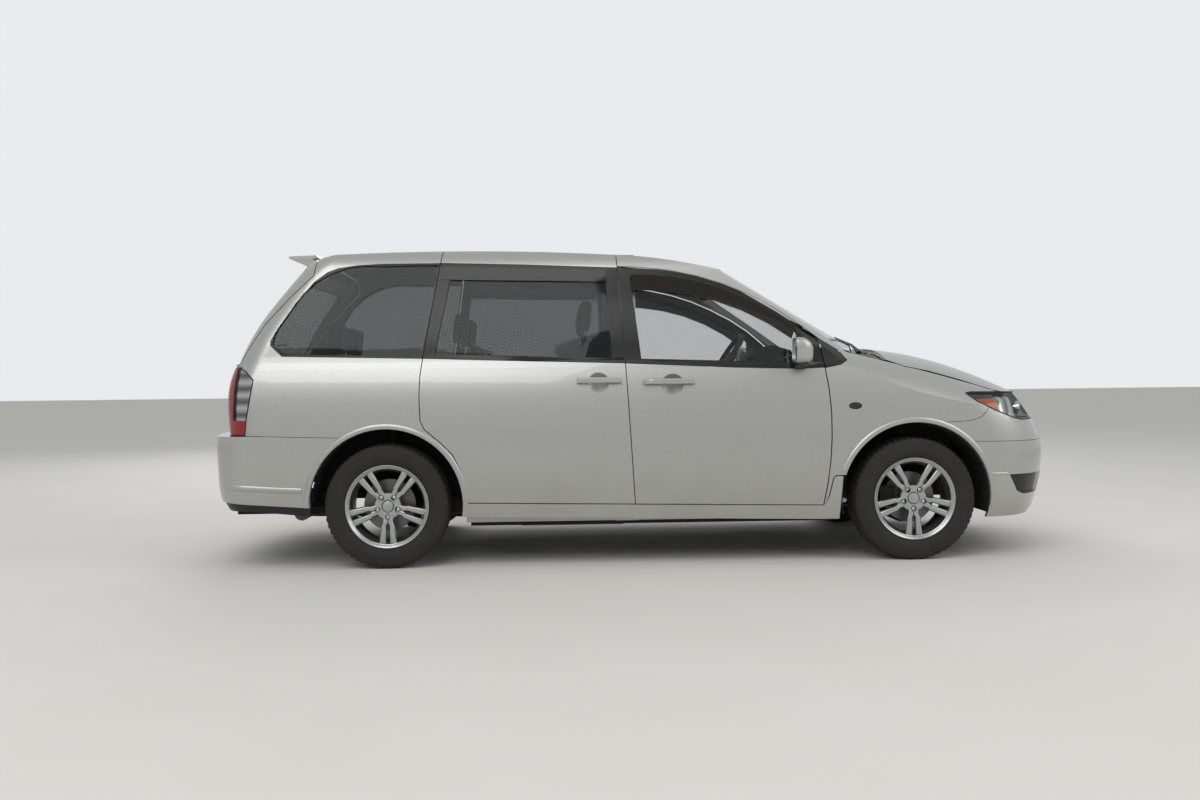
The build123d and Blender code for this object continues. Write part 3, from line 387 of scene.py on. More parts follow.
FRONT_BAND = at_row([(-200, 1083), (461, 1051), (805, 1041), (927, 1046), (1060, 1069), (1034, 1140),
                     (905, 1220), (739, 1331), (571, 1439), (400, 1521), (226, 1572), (52, 1596),
                     (-158, 1611), (-200, 1613)])
SLIDING_BAND = at_row([(-1300, 1120), (-684, 1098), (-80, 1079), (-80, 1605), (-683, 1630),
                       (-1129, 1643), (-1300, 1646)])
QUARTER_BAND = at_row([(-1968, 1136), (-1120, 1114), (-1040, 1638), (-1143, 1642), (-1459, 1641),
                       (-1590, 1633), (-1689, 1619), (-1748, 1596), (-1818, 1542), (-1910, 1428),
                       (-2000, 1282), (-2031, 1223), (-2032, 1196)])
for side in ("right", "left"):
    film("front_sash_" + side, "front_door_" + side, FRONT_BAND, SATIN_BLACK, "front_door_" + side,
         "black_trim")
    film("sliding_sash_" + side, "sliding_door_" + side, SLIDING_BAND, SATIN_BLACK, "shell", "black_trim")
    film("quarter_sash_" + side, "side_frame_" + side, QUARTER_BAND, SATIN_BLACK, "shell", "black_trim")
print("window bands made")

# %% [markdown]
# ## Wheels
# An alloy wheel is turned and cast, so it is built the same way: a barrel made by turning
# one profile round the axle, and one pair of spokes that a small node tree repeats five
# times. The same tree repeats the wheel nuts and the blocks of the tyre's tread. Each
# pair starts at a nut, and one pair points straight down, as in the photograph.

# %% Node tree: repeat a piece round the axle
def ring_of(obj, count, surface):
    """Repeats a mesh round the Y axis with a node tree, and bakes the result."""
    tree = bpy.data.node_groups.new("repeat round the axle", "GeometryNodeTree")
    tree.is_modifier = True
    face = tree.interface
    face.new_socket("Geometry", in_out="INPUT", socket_type="NodeSocketGeometry")
    many = face.new_socket("Count", in_out="INPUT", socket_type="NodeSocketInt")
    coat = face.new_socket("Finish", in_out="INPUT", socket_type="NodeSocketMaterial")
    face.new_socket("Geometry", in_out="OUTPUT", socket_type="NodeSocketGeometry")
    given = add(tree, "NodeGroupInput")
    points = add(tree, "GeometryNodePoints", links={"Count": given.outputs["Count"]})
    index = add(tree, "GeometryNodeInputIndex")
    step = add(tree, "ShaderNodeMath", operation="DIVIDE", values={0: 2 * pi},
               links={1: given.outputs["Count"]})
    angle = add(tree, "ShaderNodeMath", operation="MULTIPLY",
                links={0: index.outputs[0], 1: step.outputs[0]})
    turn = add(tree, "ShaderNodeCombineXYZ", links={"Y": angle.outputs[0]})
    copies = add(tree, "GeometryNodeInstanceOnPoints",
                 links={"Points": points.outputs[0], "Instance": given.outputs["Geometry"],
                        "Rotation": turn.outputs[0]})
    real = add(tree, "GeometryNodeRealizeInstances", links={0: copies.outputs[0]})
    painted = add(tree, "GeometryNodeSetMaterial", links={"Geometry": real.outputs[0],
                                                          "Material": given.outputs["Finish"]})
    add(tree, "NodeGroupOutput", links={0: painted.outputs[0]})
    modifier = obj.modifiers.new("ring", "NODES")
    modifier.node_group = tree
    modifier[many.identifier] = count
    modifier[coat.identifier] = surface
    return baked(obj)


# %% Turned profiles
def turned(name, profile, steps, start=0.0, sweep=360.0):
    """Turns (outward, radius) points round the Y axis; a closed ring for a full sweep."""
    full = sweep > 359.9
    rows = steps if full else steps + 1
    points, faces = [], []
    for i in range(rows):
        a = radians(start + sweep * i / steps)
        points += [(r * sin(a), o, r * cos(a)) for o, r in profile]
    n = len(profile)
    for i in range(steps):
        for k in range(n):
            a, b = i * n + k, i * n + (k + 1) % n
            c, d = ((i + 1) % rows) * n + (k + 1) % n, ((i + 1) % rows) * n + k
            faces.append((a, b, c, d))
    return mesh_object(name, points, faces)


# Barrel: lip, bead seat, drop centre and inner flange
BARREL = [(88, 208), (94, 213), (97.5, 219), (97, 221.5), (93, 222), (90, 220.5), (88.2, 206), (62, 204),
          (42, 194), (-30, 194), (-58, 203), (-88, 205), (-90.8, 221), (-94, 222), (-97.5, 220),
          (-96, 213), (-80, 197), (-60, 195), (-34, 186), (38, 186), (60, 193), (74, 198), (84, 202)]
DISC = [(-16, 60), (-16, 138), (-18, 140), (-20, 140), (-22, 138), (-22, 62), (45, 60), (45, 20),
        (35, 20), (35, 54), (-16, 54)]


# Bar of a spoke pair: radius, its middle's distance from the pair's middle, and half its width
NUT_CIRCLE = 57.15
SPOKE = ((46, 12, 15.5), (80, 14, 15.5), (93, 15.5, 16), (101, 22, 15.3), (130, 23.5, 16.5),
         (160, 25.5, 18), (199, 28.5, 20))


def sink_pocket(obj, angle):
    """Cuts the round pocket of one wheel nut, so many radians round from the top."""
    tool = turned("tool", [(52, 0.01), (52, 15.5), (90, 17.5), (90, 0.01)], 24)
    place = Vector((NUT_CIRCLE * sin(angle), 0, NUT_CIRCLE * cos(angle))) * MM
    tool.data.transform(Matrix.Translation(place))
    mended(tool)
    cut = obj.modifiers.new("pocket", "BOOLEAN")
    cut.operation, cut.object, cut.solver = "DIFFERENCE", tool, "EXACT"
    baked(obj)
    bpy.data.objects.remove(tool)


def spoke_pair():
    """Two bars of a pair with their shared foot, pointing up; they are flush near the lip."""
    parts = []
    for lean in (-1, 1):
        rings = []
        for radius, out, half in SPOKE:
            f = (radius - 46) / 153
            middle = lean * out
            front = 70 + 12 * f + 4 * sin(pi * f)
            back = 44 + 16 * f
            rings.append([(middle - half, back, radius), (middle - half * 0.92, front - 6, radius),
                          (middle - half * 0.62, front, radius), (middle + half * 0.62, front, radius),
                          (middle + half * 0.92, front - 6, radius), (middle + half, back, radius)])
        points = [p for ring in rings for p in ring]
        faces = [(i * 6 + k, i * 6 + (k + 1) % 6, (i + 1) * 6 + (k + 1) % 6, (i + 1) * 6 + k)
                 for i in range(len(SPOKE) - 1) for k in range(6)]
        last = 6 * (len(SPOKE) - 1)
        faces += [tuple(range(5, -1, -1)), tuple(range(last, last + 6))]
        bar = mesh_object("bar", points, faces)
        bevel = bar.modifiers.new("edge", "BEVEL")
        bevel.width, bevel.segments, bevel.limit_method = 2.2 * MM, 2, "ANGLE"
        parts.append(mended(baked(bar)))
        sink_pocket(bar, 0.0)
    return joined("spoke_pair", parts)


def hub_plate():
    """The middle of the wheel with five nut pockets, and a plain domed cap."""
    plate = turned("plate", [(44, 30), (44, 60), (52, 71), (64, 73), (70, 69), (72, 60), (72.5, 44), (71, 34),
                             (66, 30)], 60)
    for i in range(5):
        sink_pocket(plate, 2 * pi * i / 5)
    cap = turned("cap", [(60, 0.01), (60, 29.5), (70, 29.5), (73, 27), (75, 20), (76, 10), (76.2, 0.01)], 40)
    return joined("hub_plate", [plate, mended(cap)])


def nut():
    """One wheel nut in its pocket: six flats and a rounded end."""
    rows = [(52, 9.5), (62, 9.5), (65, 8.2), (66.5, 5.5), (67, 0.01)]
    one = turned("nut", rows + [(52, 0.01)], 6)
    one.data.transform(Matrix.Translation(Vector((0, 0, NUT_CIRCLE)) * MM))
    return mended(one)


barrel = mended(turned("barrel", BARREL, 120))
pairs = ring_of(spoke_pair(), 5, WHEEL_SILVER)
half_turn = Matrix.Rotation(pi, 4, "Y")
plate = hub_plate()
alloy = joined("alloy", [barrel, pairs, plate])
nuts = ring_of(nut(), 5, CHROME)
brake = mended(turned("brake", DISC, 96))
for made in (alloy, nuts):
    made.data.transform(half_turn)
print("alloy wheel:", len(alloy.data.polygons), "faces")

# %% [markdown]
# ## Tyres
# The tyre's section is turned too, but its tread repeats: one pitch of the tread, with a
# slanted groove across the shoulder blocks, is made once and repeated 60 times. Four
# grooves 8 mm deep run round it. The side wall carries two thin raised rings and no words.

# %% One pitch of tyre, repeated
OUTSIDE = [(87.6, 205.6), (91, 222.5), (95, 228), (99, 236), (103.5, 247), (104.6, 249), (105.6, 252),
           (107.4, 268), (107.4, 272), (106.2, 273), (106, 282), (105, 294), (105.8, 295.5), (104.6, 304),
           (101.5, 313), (98, 320), (94, 325.5), (88, 329.4), (78, 330.8)]
TREAD = [(61, 331.6), (59, 324), (53, 324), (51, 331.9), (23, 332), (21, 324), (13, 324), (11, 332), (0, 332)]
half_section = OUTSIDE + TREAD
SECTION = half_section + [(-o, r) for o, r in reversed(half_section[:-1])]
INNER = [(-80, 207), (-96, 245), (-98, 275), (-90, 310), (-60, 320), (60, 320), (90, 310), (98, 275), (96, 245),
         (80, 207)]


def tread_pitch(pitches=60):
    """A slice of the tyre for one tread pitch, with its cross grooves sunk by moving points."""
    cuts = (0.0, 0.1, 0.16, 0.5, 0.84, 0.9)
    step = 360 / pitches
    points, faces = [], []
    loop = SECTION + INNER
    for c, cut in enumerate(cuts + (1.0,)):
        for o, r in loop:
            shoulder = 27 < abs(o) < 96 and r > 318
            lean = abs(o) * 0.02 if shoulder or (abs(o) < 10 and r > 330) else 0.0
            if shoulder and c in (1, 2):
                r -= 6.5 if r > 326 else 2.6
            a = radians(cut * step + lean)
            points.append((r * sin(a), o, r * cos(a)))
    n = len(loop)
    for c in range(len(cuts)):
        for k in range(n):
            faces.append((c * n + k, c * n + (k + 1) % n, (c + 1) * n + (k + 1) % n, (c + 1) * n + k))
    return mesh_object("tread_pitch", points, faces)


tyre = mended(ring_of(tread_pitch(), 60, TYRE_RUBBER), 0.05)
print("tyre:", len(tyre.data.polygons), "faces")

# %% Set the four wheels in place
def set_wheel(pattern, name, corner, surface, body, hides=(), crease=35):
    x, y = WHEEL_PLACES[corner]
    copy = bpy.data.objects.new(name, pattern.data.copy())
    bpy.context.scene.collection.objects.link(copy)
    facing = Matrix.Identity(4) if y > 0 else Matrix.Rotation(pi, 4, "Z")
    copy.data.transform(Matrix.Translation(Vector((x, y, AXLE_Z)) * MM) @ facing)
    return dress(copy, surface, body, hides, crease)


for corner in WHEEL_PLACES:
    body = "wheel_" + corner
    set_wheel(alloy, "alloy_" + corner, corner, WHEEL_SILVER, body, ("rim_" + corner,), 30)
    set_wheel(nuts, "nuts_" + corner, corner, CHROME, body, (), 30)
    set_wheel(brake, "brake_disc_" + corner, corner, BRAKE_IRON, body, (), 30)
    set_wheel(tyre, "treaded_tyre_" + corner, corner, TYRE_RUBBER, body,
              ("tyre_" + corner,), 30)
for pattern in (alloy, nuts, brake, tyre):
    bpy.data.objects.remove(pattern)
print("wheels set on", len(WHEEL_PLACES), "hubs")

# %% [markdown]
# ## Strips that follow the bodywork
# Rubber gaskets, raised wheel-arch lips and the painted shade line of a pressed crease all
# follow the curve of the panels. Rather than measure that curve, a ray is shot sideways at the
# panels for every point of a traced line, and the strip is laid where the rays land. A strip's
# profile says how far across the line and how far off the panel each of its rows of points lies.

# %% Lay a strip or an oval on the panels
def skin_of(*nodes):
    points, faces = [], []
    for node in nodes:
        mesh, start = NODES[node].data, len(points)
        points += [v.co.copy() for v in mesh.vertices]
        faces += [[start + i for i in face.vertices] for face in mesh.polygons]
    return BVHTree.FromPolygons(points, faces)


def land(tree, x, z, out):
    """Where a ray from far out at one side lands, in millimetres, and the way the panel faces."""
    spot, normal, _, _ = tree.ray_cast(Vector((x, out * 1500, z)) * MM, Vector((0, -out, 0)))
    if spot is None:
        return None, None
    return spot / MM, normal if normal.y * out > 0 else -normal


def strip(name, tree, path, profile, side, surface, body="shell", step=10, closed=False, crease=50):
    out = -1 if side == "right" else 1
    rows = []
    ends = path + path[:1] if closed else path
    for (x0, z0), (x1, z1) in zip(ends, ends[1:]):
        count = max(1, round(hypot(x1 - x0, z1 - z0) / step))
        rows += [(x0 + (x1 - x0) * i / count, z0 + (z1 - z0) * i / count) for i in range(count)]
    if not closed:
        rows.append(path[-1])
    points, y_last, away = [], None, None
    for i, (x, z) in enumerate(rows):
        before = rows[i - 1] if closed or i else rows[0]
        after = rows[(i + 1) % len(rows)] if closed or i + 1 < len(rows) else rows[-1]
        along = Vector((after[0] - before[0], after[1] - before[1])).normalized()
        for across, proud in profile:
            px, pz = x - along.y * across, z + along.x * across
            spot, facing = land(tree, px, pz, out)
            if spot is not None and (y_last is None or abs(spot.y - y_last) < 40):
                y_last, away = spot.y, facing
            if away is None:
                raise ValueError("nothing to lay " + name + " on")
            points.append(Vector((px, y_last, pz)) + away * proud)
    n, count = len(profile), len(rows)
    faces = [(i * n + k, i * n + k + 1, (i + 1) % count * n + k + 1, (i + 1) % count * n + k)
             for i in range(count if closed else count - 1) for k in range(n - 1)]
    obj = mesh_object(name, points, faces)
    bm = bmesh.new()
    bm.from_mesh(obj.data)
    bm.normal_update()
    if sum(f.normal.y * f.calc_area() for f in bm.faces) * out < 0:
        bmesh.ops.reverse_faces(bm, faces=bm.faces)
    bm.to_mesh(obj.data)
    bm.free()
    return dress(obj, surface, body, (), crease)


def oval(name, tree, centre, half_x, half_z, proud, side, surface, body="shell", rings=5):
    """A low dome on the panel, such as a lens or the end of a lock."""
    out = -1 if side == "right" else 1
    x, z = centre
    steps = 28
    points, faces = [], []
    for ring in range(rings + 1):
        f = 1 - ring / (rings + 0.6)
        lift = proud * sqrt(max(0.0, 1 - f ** 4)) if ring else 0.0
        for i in range(steps):
            a = 2 * pi * i / steps
            spot, facing = land(tree, x + half_x * f * cos(a), z + half_z * f * sin(a), out)
            points.append(spot + facing * (lift + 0.05))
    for ring in range(rings):
        for i in range(steps):
            j = (i + 1) % steps
            faces.append((ring * steps + i, ring * steps + j, (ring + 1) * steps + j, (ring + 1) * steps + i))
    faces.append(tuple(range(rings * steps, (rings + 1) * steps)))
    obj = mesh_object(name, points, faces)
    if out > 0:
        obj.data.flip_normals()
    return dress(obj, surface, body, (), 40)


def moved(points, dx=MID_X):
    return [(x + dx, z) for x, z in points]


FRONT_SKIN = {side: skin_of("fender_" + side, "front_bumper", "headlamp_" + side) for side in ("right", "left")}
REAR_SKIN = {side: skin_of("side_frame_" + side, "rear_bumper", "tail_lamps") for side in ("right", "left")}
DOOR_SKIN = {side: skin_of("front_door_" + side) for side in ("right", "left")}
print("panels ready to lay strips on")

# %% [markdown]
# ## Arch lips, gaskets and a painted crease shade
# The steel round each wheel opening is rolled out into a lip about 30 mm wide, which
# catches the light. Dark lines show where the wing, the bumpers and the lamps meet, and a
# fine black line along the front bumper's crease is painted shade.

# %% Lay the lips, gaskets, seam lines and the painted crease shade
LIP = [(0, 0.1), (1, 4.6), (5, 6.0), (15, 6.4), (23, 4.4), (27.5, 0.1)]
HAIR = [(-1.3, 0.35), (1.3, 0.35)]
GASKET = [(-3.5, 0.3), (-2.5, 1.2), (2.5, 1.2), (3.5, 0.3)]


def arc_path(centre_x, radius, first, last, steps=70):
    """Points of an arch, by degrees up from the rear end of its level line."""
    turns = [radians(first + (last - first) * i / steps) for i in range(steps + 1)]
    return [(centre_x - radius * cos(a), AXLE_Z + 10 + radius * sin(a)) for a in turns]


WING_LINE = moved([(1578, 745), (1650, 748), (1722, 754), (1773, 770), (1807, 806), (1815, 822)])
CREASE_SHADE_LINE = moved([(1736, 640), (1900, 639), (2100, 638), (2250, 636)])
TAIL_LINE = moved([(-1660, 703), (-1800, 707), (-2139, 718), (-2280, 718)])
GARNISH_TOP = moved([(-1862, 425), (-2000, 432), (-2274, 450)])
HEADLAMP_EDGE = moved([(1709, 898), (1759, 855), (1852, 808), (1969, 765), (2028, 752), (2180, 752)])
HEADLAMP_TOP = moved([(1709, 901), (1742, 905), (1902, 903), (2050, 899), (2100, 899)])
TAIL_EDGE = moved([(-2200, 1080), (-2196, 1078), (-2154, 1058), (-2111, 1014), (-2124, 931), (-2147, 799),
                   (-2154, 722), (-2240, 722)])
AERO_EDGE = moved([(1824, 463), (1922, 462)])
SEAL_LINE = moved([(952, 900), (930, 1044), (905, 1214), (713, 1323), (469, 1426), (174, 1522), (-171, 1611)])
for side in ("right", "left"):
    front_skin, rear_skin = FRONT_SKIN[side], REAR_SKIN[side]
    frame_skin = skin_of("front_door_" + side, "side_frame_" + side, "sail_panels", "fender_" + side)
    strip("door_seal_" + side, frame_skin, SEAL_LINE, [(-16, -17), (0, -12), (16, -17)], side, WIPER_RUBBER)
    strip("aero_edge_" + side, front_skin, AERO_EDGE, [(-7, 0.2), (-5, 2.6), (3, 3.4), (7, 0.2)], side,
          BUMPER_PAINT)
    strip("front_arch_lip_" + side, front_skin, arc_path(1457.5, 406, 20, 187), LIP, side, BODY_PAINT)
    strip("rear_arch_lip_" + side, rear_skin, arc_path(-1382.5, 406, -1, 180), LIP, side, BODY_PAINT)
    strip("wing_line_" + side, front_skin, WING_LINE, HAIR, side, WIPER_RUBBER)
    # The black hairline along the front bumper's crease paints the shade in the crease.
    strip("crease_shade_line_" + side, front_skin, CREASE_SHADE_LINE, HAIR, side, WIPER_RUBBER)
    strip("tail_line_" + side, rear_skin, TAIL_LINE, HAIR, side, WIPER_RUBBER)
    strip("headlamp_gasket_" + side, front_skin, HEADLAMP_EDGE, GASKET, side, WIPER_RUBBER)
    strip("headlamp_seal_" + side, front_skin, HEADLAMP_TOP, GASKET, side, WIPER_RUBBER)
    strip("tail_gasket_" + side, rear_skin, TAIL_EDGE, GASKET, side, WIPER_RUBBER)
    strip("garnish_" + side, rear_skin, GARNISH_TOP, [(-15, 0.3), (-13, 3.0), (0, 4.0), (13, 3.0), (15, 0.3)],
          side, BUMPER_PAINT)
    oval("side_marker_" + side, front_skin, (1126.5, 840), 31, 15, 7, side, LENS_CLEAR)
    oval("side_marker_rim_" + side, front_skin, (1126.5, 840), 36, 19, 2.5, side, WIPER_RUBBER)
    oval("door_lock_" + side, DOOR_SKIN[side], (29.5, 983), 9, 9, 1.5, side, CHROME,
         "front_door_" + side)
print("strips laid on both sides")

# %% [markdown]
# ## Lamps
# A lamp is a coloured or clear cover over bright, fluted reflectors. The lamp's solid is
# one block, so its outward faces are copied once for the cover, and copied again a few
# centimetres deeper for what shows through it. The flutes are a wave 9 mm apart that lifts
# the plating in ridges, and the same wave paints highlights on the crests and shade in the troughs.

# %% Fluted reflectors, covers and coloured lenses
def fluted(name, base, light, pitch_mm, way):
    made, tree, shader = finish(name, base, 0.16, 1.0)
    place = add(tree, "ShaderNodeTexCoord")
    ridges_and_painted_shine = add(tree, "ShaderNodeTexWave", bands_direction=way, wave_profile="SIN",
                 values={"Scale": 1000.0 / pitch_mm / 20, "Distortion": 0.0},
                 links={"Vector": place.outputs["Object"]})
    # The flute wave also paints the plating bright on the crests and dark in the troughs: painted highlights and
    # shade.
    tree.links.new(blend_colours(tree, ridges_and_painted_shine.outputs[1], base, light), shader.inputs["Base Color"])
    raise_from(tree, shader, ridges_and_painted_shine.outputs[1], 3.0)
    return made


FLUTED = fluted("fluted plated reflector with painted highlights", "#8E9092", "#E2E4E6", 9, "X")
STEPPED = fluted("stepped plated reflector with painted highlights", "#77797B", "#DCDEE0", 11, "Z")
LENS_BALL = pane("cast glass lens", "#C9D0D4", 0.9, 1.9, haze_mm=12)
DARK_PLATE = metal("dark plated bezel", "#4B4C4E", "#5C5D60", 0.22)


def outward(side):
    out = -1 if side == "right" else 1
    return lambda face: face.normal.y * out > 0.01 and face.calc_center_median().y * out > 0


def inward(side):
    out = -1 if side == "right" else 1
    return lambda face: face.normal.y * out <= 0.01 and face.calc_center_median().y * out > 0


def lined(name, node, side, surface):
    """The lamp's walls and back, turned to face its inside."""
    bm = loose_copy(node)
    keep = inward(side)
    bmesh.ops.delete(bm, geom=[f for f in bm.faces if not keep(f)], context="FACES")
    bmesh.ops.reverse_faces(bm, faces=bm.faces)
    mesh = bpy.data.meshes.new(name)
    bm.to_mesh(mesh)
    bm.free()
    obj = bpy.data.objects.new(name, mesh)
    bpy.context.scene.collection.objects.link(obj)
    return dress(obj, surface, "shell")


AMBER = moved([(1745, 868), (1759, 853), (1852, 807), (1889, 792), (1868, 874)])
BEZEL = moved([(1700, 890), (1745, 868), (1868, 872), (1886, 920), (1700, 920)])
SIDE_BOWL = moved([(1868, 874), (1889, 740), (2010, 740), (1990, 915), (1872, 915)])
FRONT_LINING = moved([(1990, 915), (2010, 740), (2400, 740), (2400, 915)])
TAIL_RED = moved([(-2400, 716), (-2120, 716), (-2120, 800), (-2400, 800)])
TAIL_CLEAR = moved([(-2226, 800), (-2100, 800), (-2090, 1100), (-2226, 1100)])
TAIL_EDGE_RED = moved([(-2420, 800), (-2232, 800), (-2214, 1100), (-2420, 1100)])
for side in ("right", "left"):
    lamp = "headlamp_" + side
    wide = moved([(1600, 700), (2400, 700), (2400, 950), (1600, 950)])
    cover = film("headlamp_cover_" + side, lamp, wide, LENS_CLEAR, "shell", "lamp_lens", 0.3, outward(side))
    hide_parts(lamp)
    film("indicator_" + side, lamp, AMBER, LENS_AMBER, "shell", "lamp_lens", -5, outward(side))
    film("lamp_bezel_" + side, lamp, BEZEL, DARK_PLATE, "shell", "bright_trim", -7, outward(side))
    film("lamp_bowl_" + side, lamp, SIDE_BOWL, FLUTED, "shell", "bright_trim", -18, outward(side))
    film("lamp_deep_" + side, lamp, FRONT_LINING, STEPPED, "shell", "bright_trim", -62, outward(side))
    out = -1 if side == "right" else 1
    for name, y, radius in (("outer", 640, 37), ("inner", 545, 35)):
        spot, _, _, _ = FRONT_SKIN[side].ray_cast(Vector((3000, out * y, 812)) * MM, Vector((-1, 0, 0)))
        bowl = turned("bowl", [(0, radius), (-1, radius - 3), (-16, radius * 0.72), (-30, radius * 0.42),
                               (-36, 0.01), (-40, 0.01), (-34, radius * 0.5), (-4, radius)], 40)
        ball = turned("ball", [(-34, 19), (-20, 19), (-14, 15), (-10, 9), (-8.5, 0.01), (-34, 0.01)], 32)
        for piece, label, surface in ((bowl, "bowl", REFLECTOR), (ball, "ball", LENS_BALL)):
            piece.data.transform(Matrix.Translation((spot.x - 0.036, out * y * MM, 0.812))
                                 @ Matrix.Rotation(-pi / 2, 4, "Z"))
            dress(mended(piece), surface, "shell", (), 40).name = name + "_" + label + "_" + side
    lined("lamp_lining_" + side, lamp, side, DARK_PLATE)
    tall = moved([(-2450, 700), (-2000, 700), (-2000, 1120), (-2450, 1120)])
    cover = film("tail_cover_" + side, "tail_lamps", tall, LENS_CLEAR, "shell", "lamp_lens", 0.3, outward(side))
    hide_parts("tail_lamps")
    film("tail_red_" + side, "tail_lamps", TAIL_RED, LENS_RED, "shell", "lamp_lens", -3, outward(side))
    film("tail_edge_red_" + side, "tail_lamps", TAIL_EDGE_RED, LENS_RED, "shell", "lamp_lens", -3,
         outward(side))
    film("tail_bowl_" + side, "tail_lamps", TAIL_CLEAR, STEPPED, "shell", "bright_trim", -14, outward(side))
    lined("tail_lining_" + side, "tail_lamps", side, DARK_PLATE)
print("lamps dressed on both sides")

# %% [markdown]
# ## Cabin linings
# Inside, the painted panels are hidden by trim: a pale cloth headlining, moulded door
# cards, trimmed pillars and a carpet. Each lining is a film over the faces of a solid that
# look into the cabin, so it fits its panel without any measuring.

# %% Linings over the inward faces
CARPET = moulded("tufted carpet", "#222224", "#2E2E30", 0.95, 4.0, 1.2)
PLATING_FACES = moved([(-2500, 150), (2500, 150), (2500, 1800), (-2500, 1800)])
film("headlining", "roof", PLATING_FACES, PALE_TRIM, "shell", "cabin_plastic", 0.4,
     lambda face: face.normal.z < -0.3)
film("carpet", "underbody", moved([(-2300, 195), (1010, 195), (1010, 420), (-2300, 420)]), CARPET, "shell",
     "cabin_plastic", 0.8, lambda face: face.normal.z > 0.7)
for side, out in (("right", -1), ("left", 1)):
    def into_cabin(face, out=out):
        return face.normal.y * out < -0.4
    above = moved([(-2500, 232), (1100, 232), (1100, 1700), (-2500, 1700)])
    film("front_card_" + side, "front_door_" + side, above, DOOR_CARD, "front_door_" + side, "cabin_plastic",
         0.6, into_cabin)
    film("sliding_card_" + side, "sliding_door_" + side, above, DOOR_CARD, "shell", "cabin_plastic", 0.6,
         into_cabin)
    film("pillar_trim_" + side, "side_frame_" + side, above, PALE_TRIM, "shell", "cabin_plastic", 0.4,
         into_cabin)
print("cabin lined")

# %% [markdown]
# ## Seats
# A car seat is foam under a cloth cover that is sewn in panels. The cover's tension rounds
# every edge, crowns each panel and pulls the sides in between the corners. One function
# shapes a finely cut box that way and presses its sewn channels in.
# A narrow welt cord lies in the seam round each cushion and back of the front seats.

# %% One padded piece
def pad(name, size, channels=(), crown=0.18, pull=0.05, corner=5.0, cross=()):
    """A padded form of so many millimetres; its face looks up and its channels run along x."""
    half = Vector(size) / 2
    bm = bmesh.new()
    bmesh.ops.create_cube(bm, size=2)
    bmesh.ops.subdivide_edges(bm, edges=bm.edges[:], cuts=17, use_grid_fill=True)
    for v in bm.verts:
        u, w, t = v.co
        edge_u, edge_w, edge_t = abs(u) ** corner, abs(w) ** corner, abs(t) ** corner
        x = u * (1 - pull * (1 - w * w)) * (1 - 0.12 * edge_w * edge_t) * (1 - 0.10 * edge_t)
        y = w * (1 - pull * (1 - u * u)) * (1 - 0.12 * edge_u * edge_t) * (1 - 0.10 * edge_t)
        z = t * (1 - 0.22 * max(edge_u, edge_w))
        if t > 0:
            z += crown * (1 - u * u) * (1 - w * w)
            for at in channels:
                z -= 0.16 * t ** 6 * 2.72 ** (-((w - at) / 0.035) ** 2) * (1 - edge_u)
            for at in cross:
                z -= 0.13 * t ** 6 * 2.72 ** (-((u - at) / 0.03) ** 2) * (1 if abs(w) < 0.55 else 0)
        v.co = Vector((x * half.x, y * half.y, z * half.z)) * MM
    mesh = bpy.data.meshes.new(name)
    bm.to_mesh(mesh)
    bm.free()
    obj = bpy.data.objects.new(name, mesh)
    bpy.context.scene.collection.objects.link(obj)
    return obj


def leaned(obj, centre, lean):
    """Tips a piece back about the y axis and sets its middle at a place in millimetres."""
    obj.data.transform(Matrix.Translation(Vector(centre) * MM) @ Matrix.Rotation(radians(lean), 4, "Y"))
    return obj


def welt(name, size, centre, lean):
    """The piping round the edge of a cushion's face."""
    hx, hy, hz = size[0] / 2 * 0.93, size[1] / 2 * 0.95, size[2] / 2 * 0.80
    rounds, points, faces = 64, [], []
    for i in range(rounds):
        a = 2 * pi * i / rounds
        c, d = cos(a), sin(a)
        k = (abs(c) ** 7 + abs(d) ** 7) ** (-1 / 7)
        px, py = hx * c * k, hy * d * k
        for j in range(6):
            b = 2 * pi * j / 6
            points.append((px + 3 * cos(b) * c, py + 3 * cos(b) * d, hz + 3 * sin(b)))
    for i in range(rounds):
        for j in range(6):
            faces.append((i * 6 + j, (i + 1) % rounds * 6 + j, (i + 1) % rounds * 6 + (j + 1) % 6,
                          i * 6 + (j + 1) % 6))
    return leaned(mesh_object(name, points, faces), centre, lean)


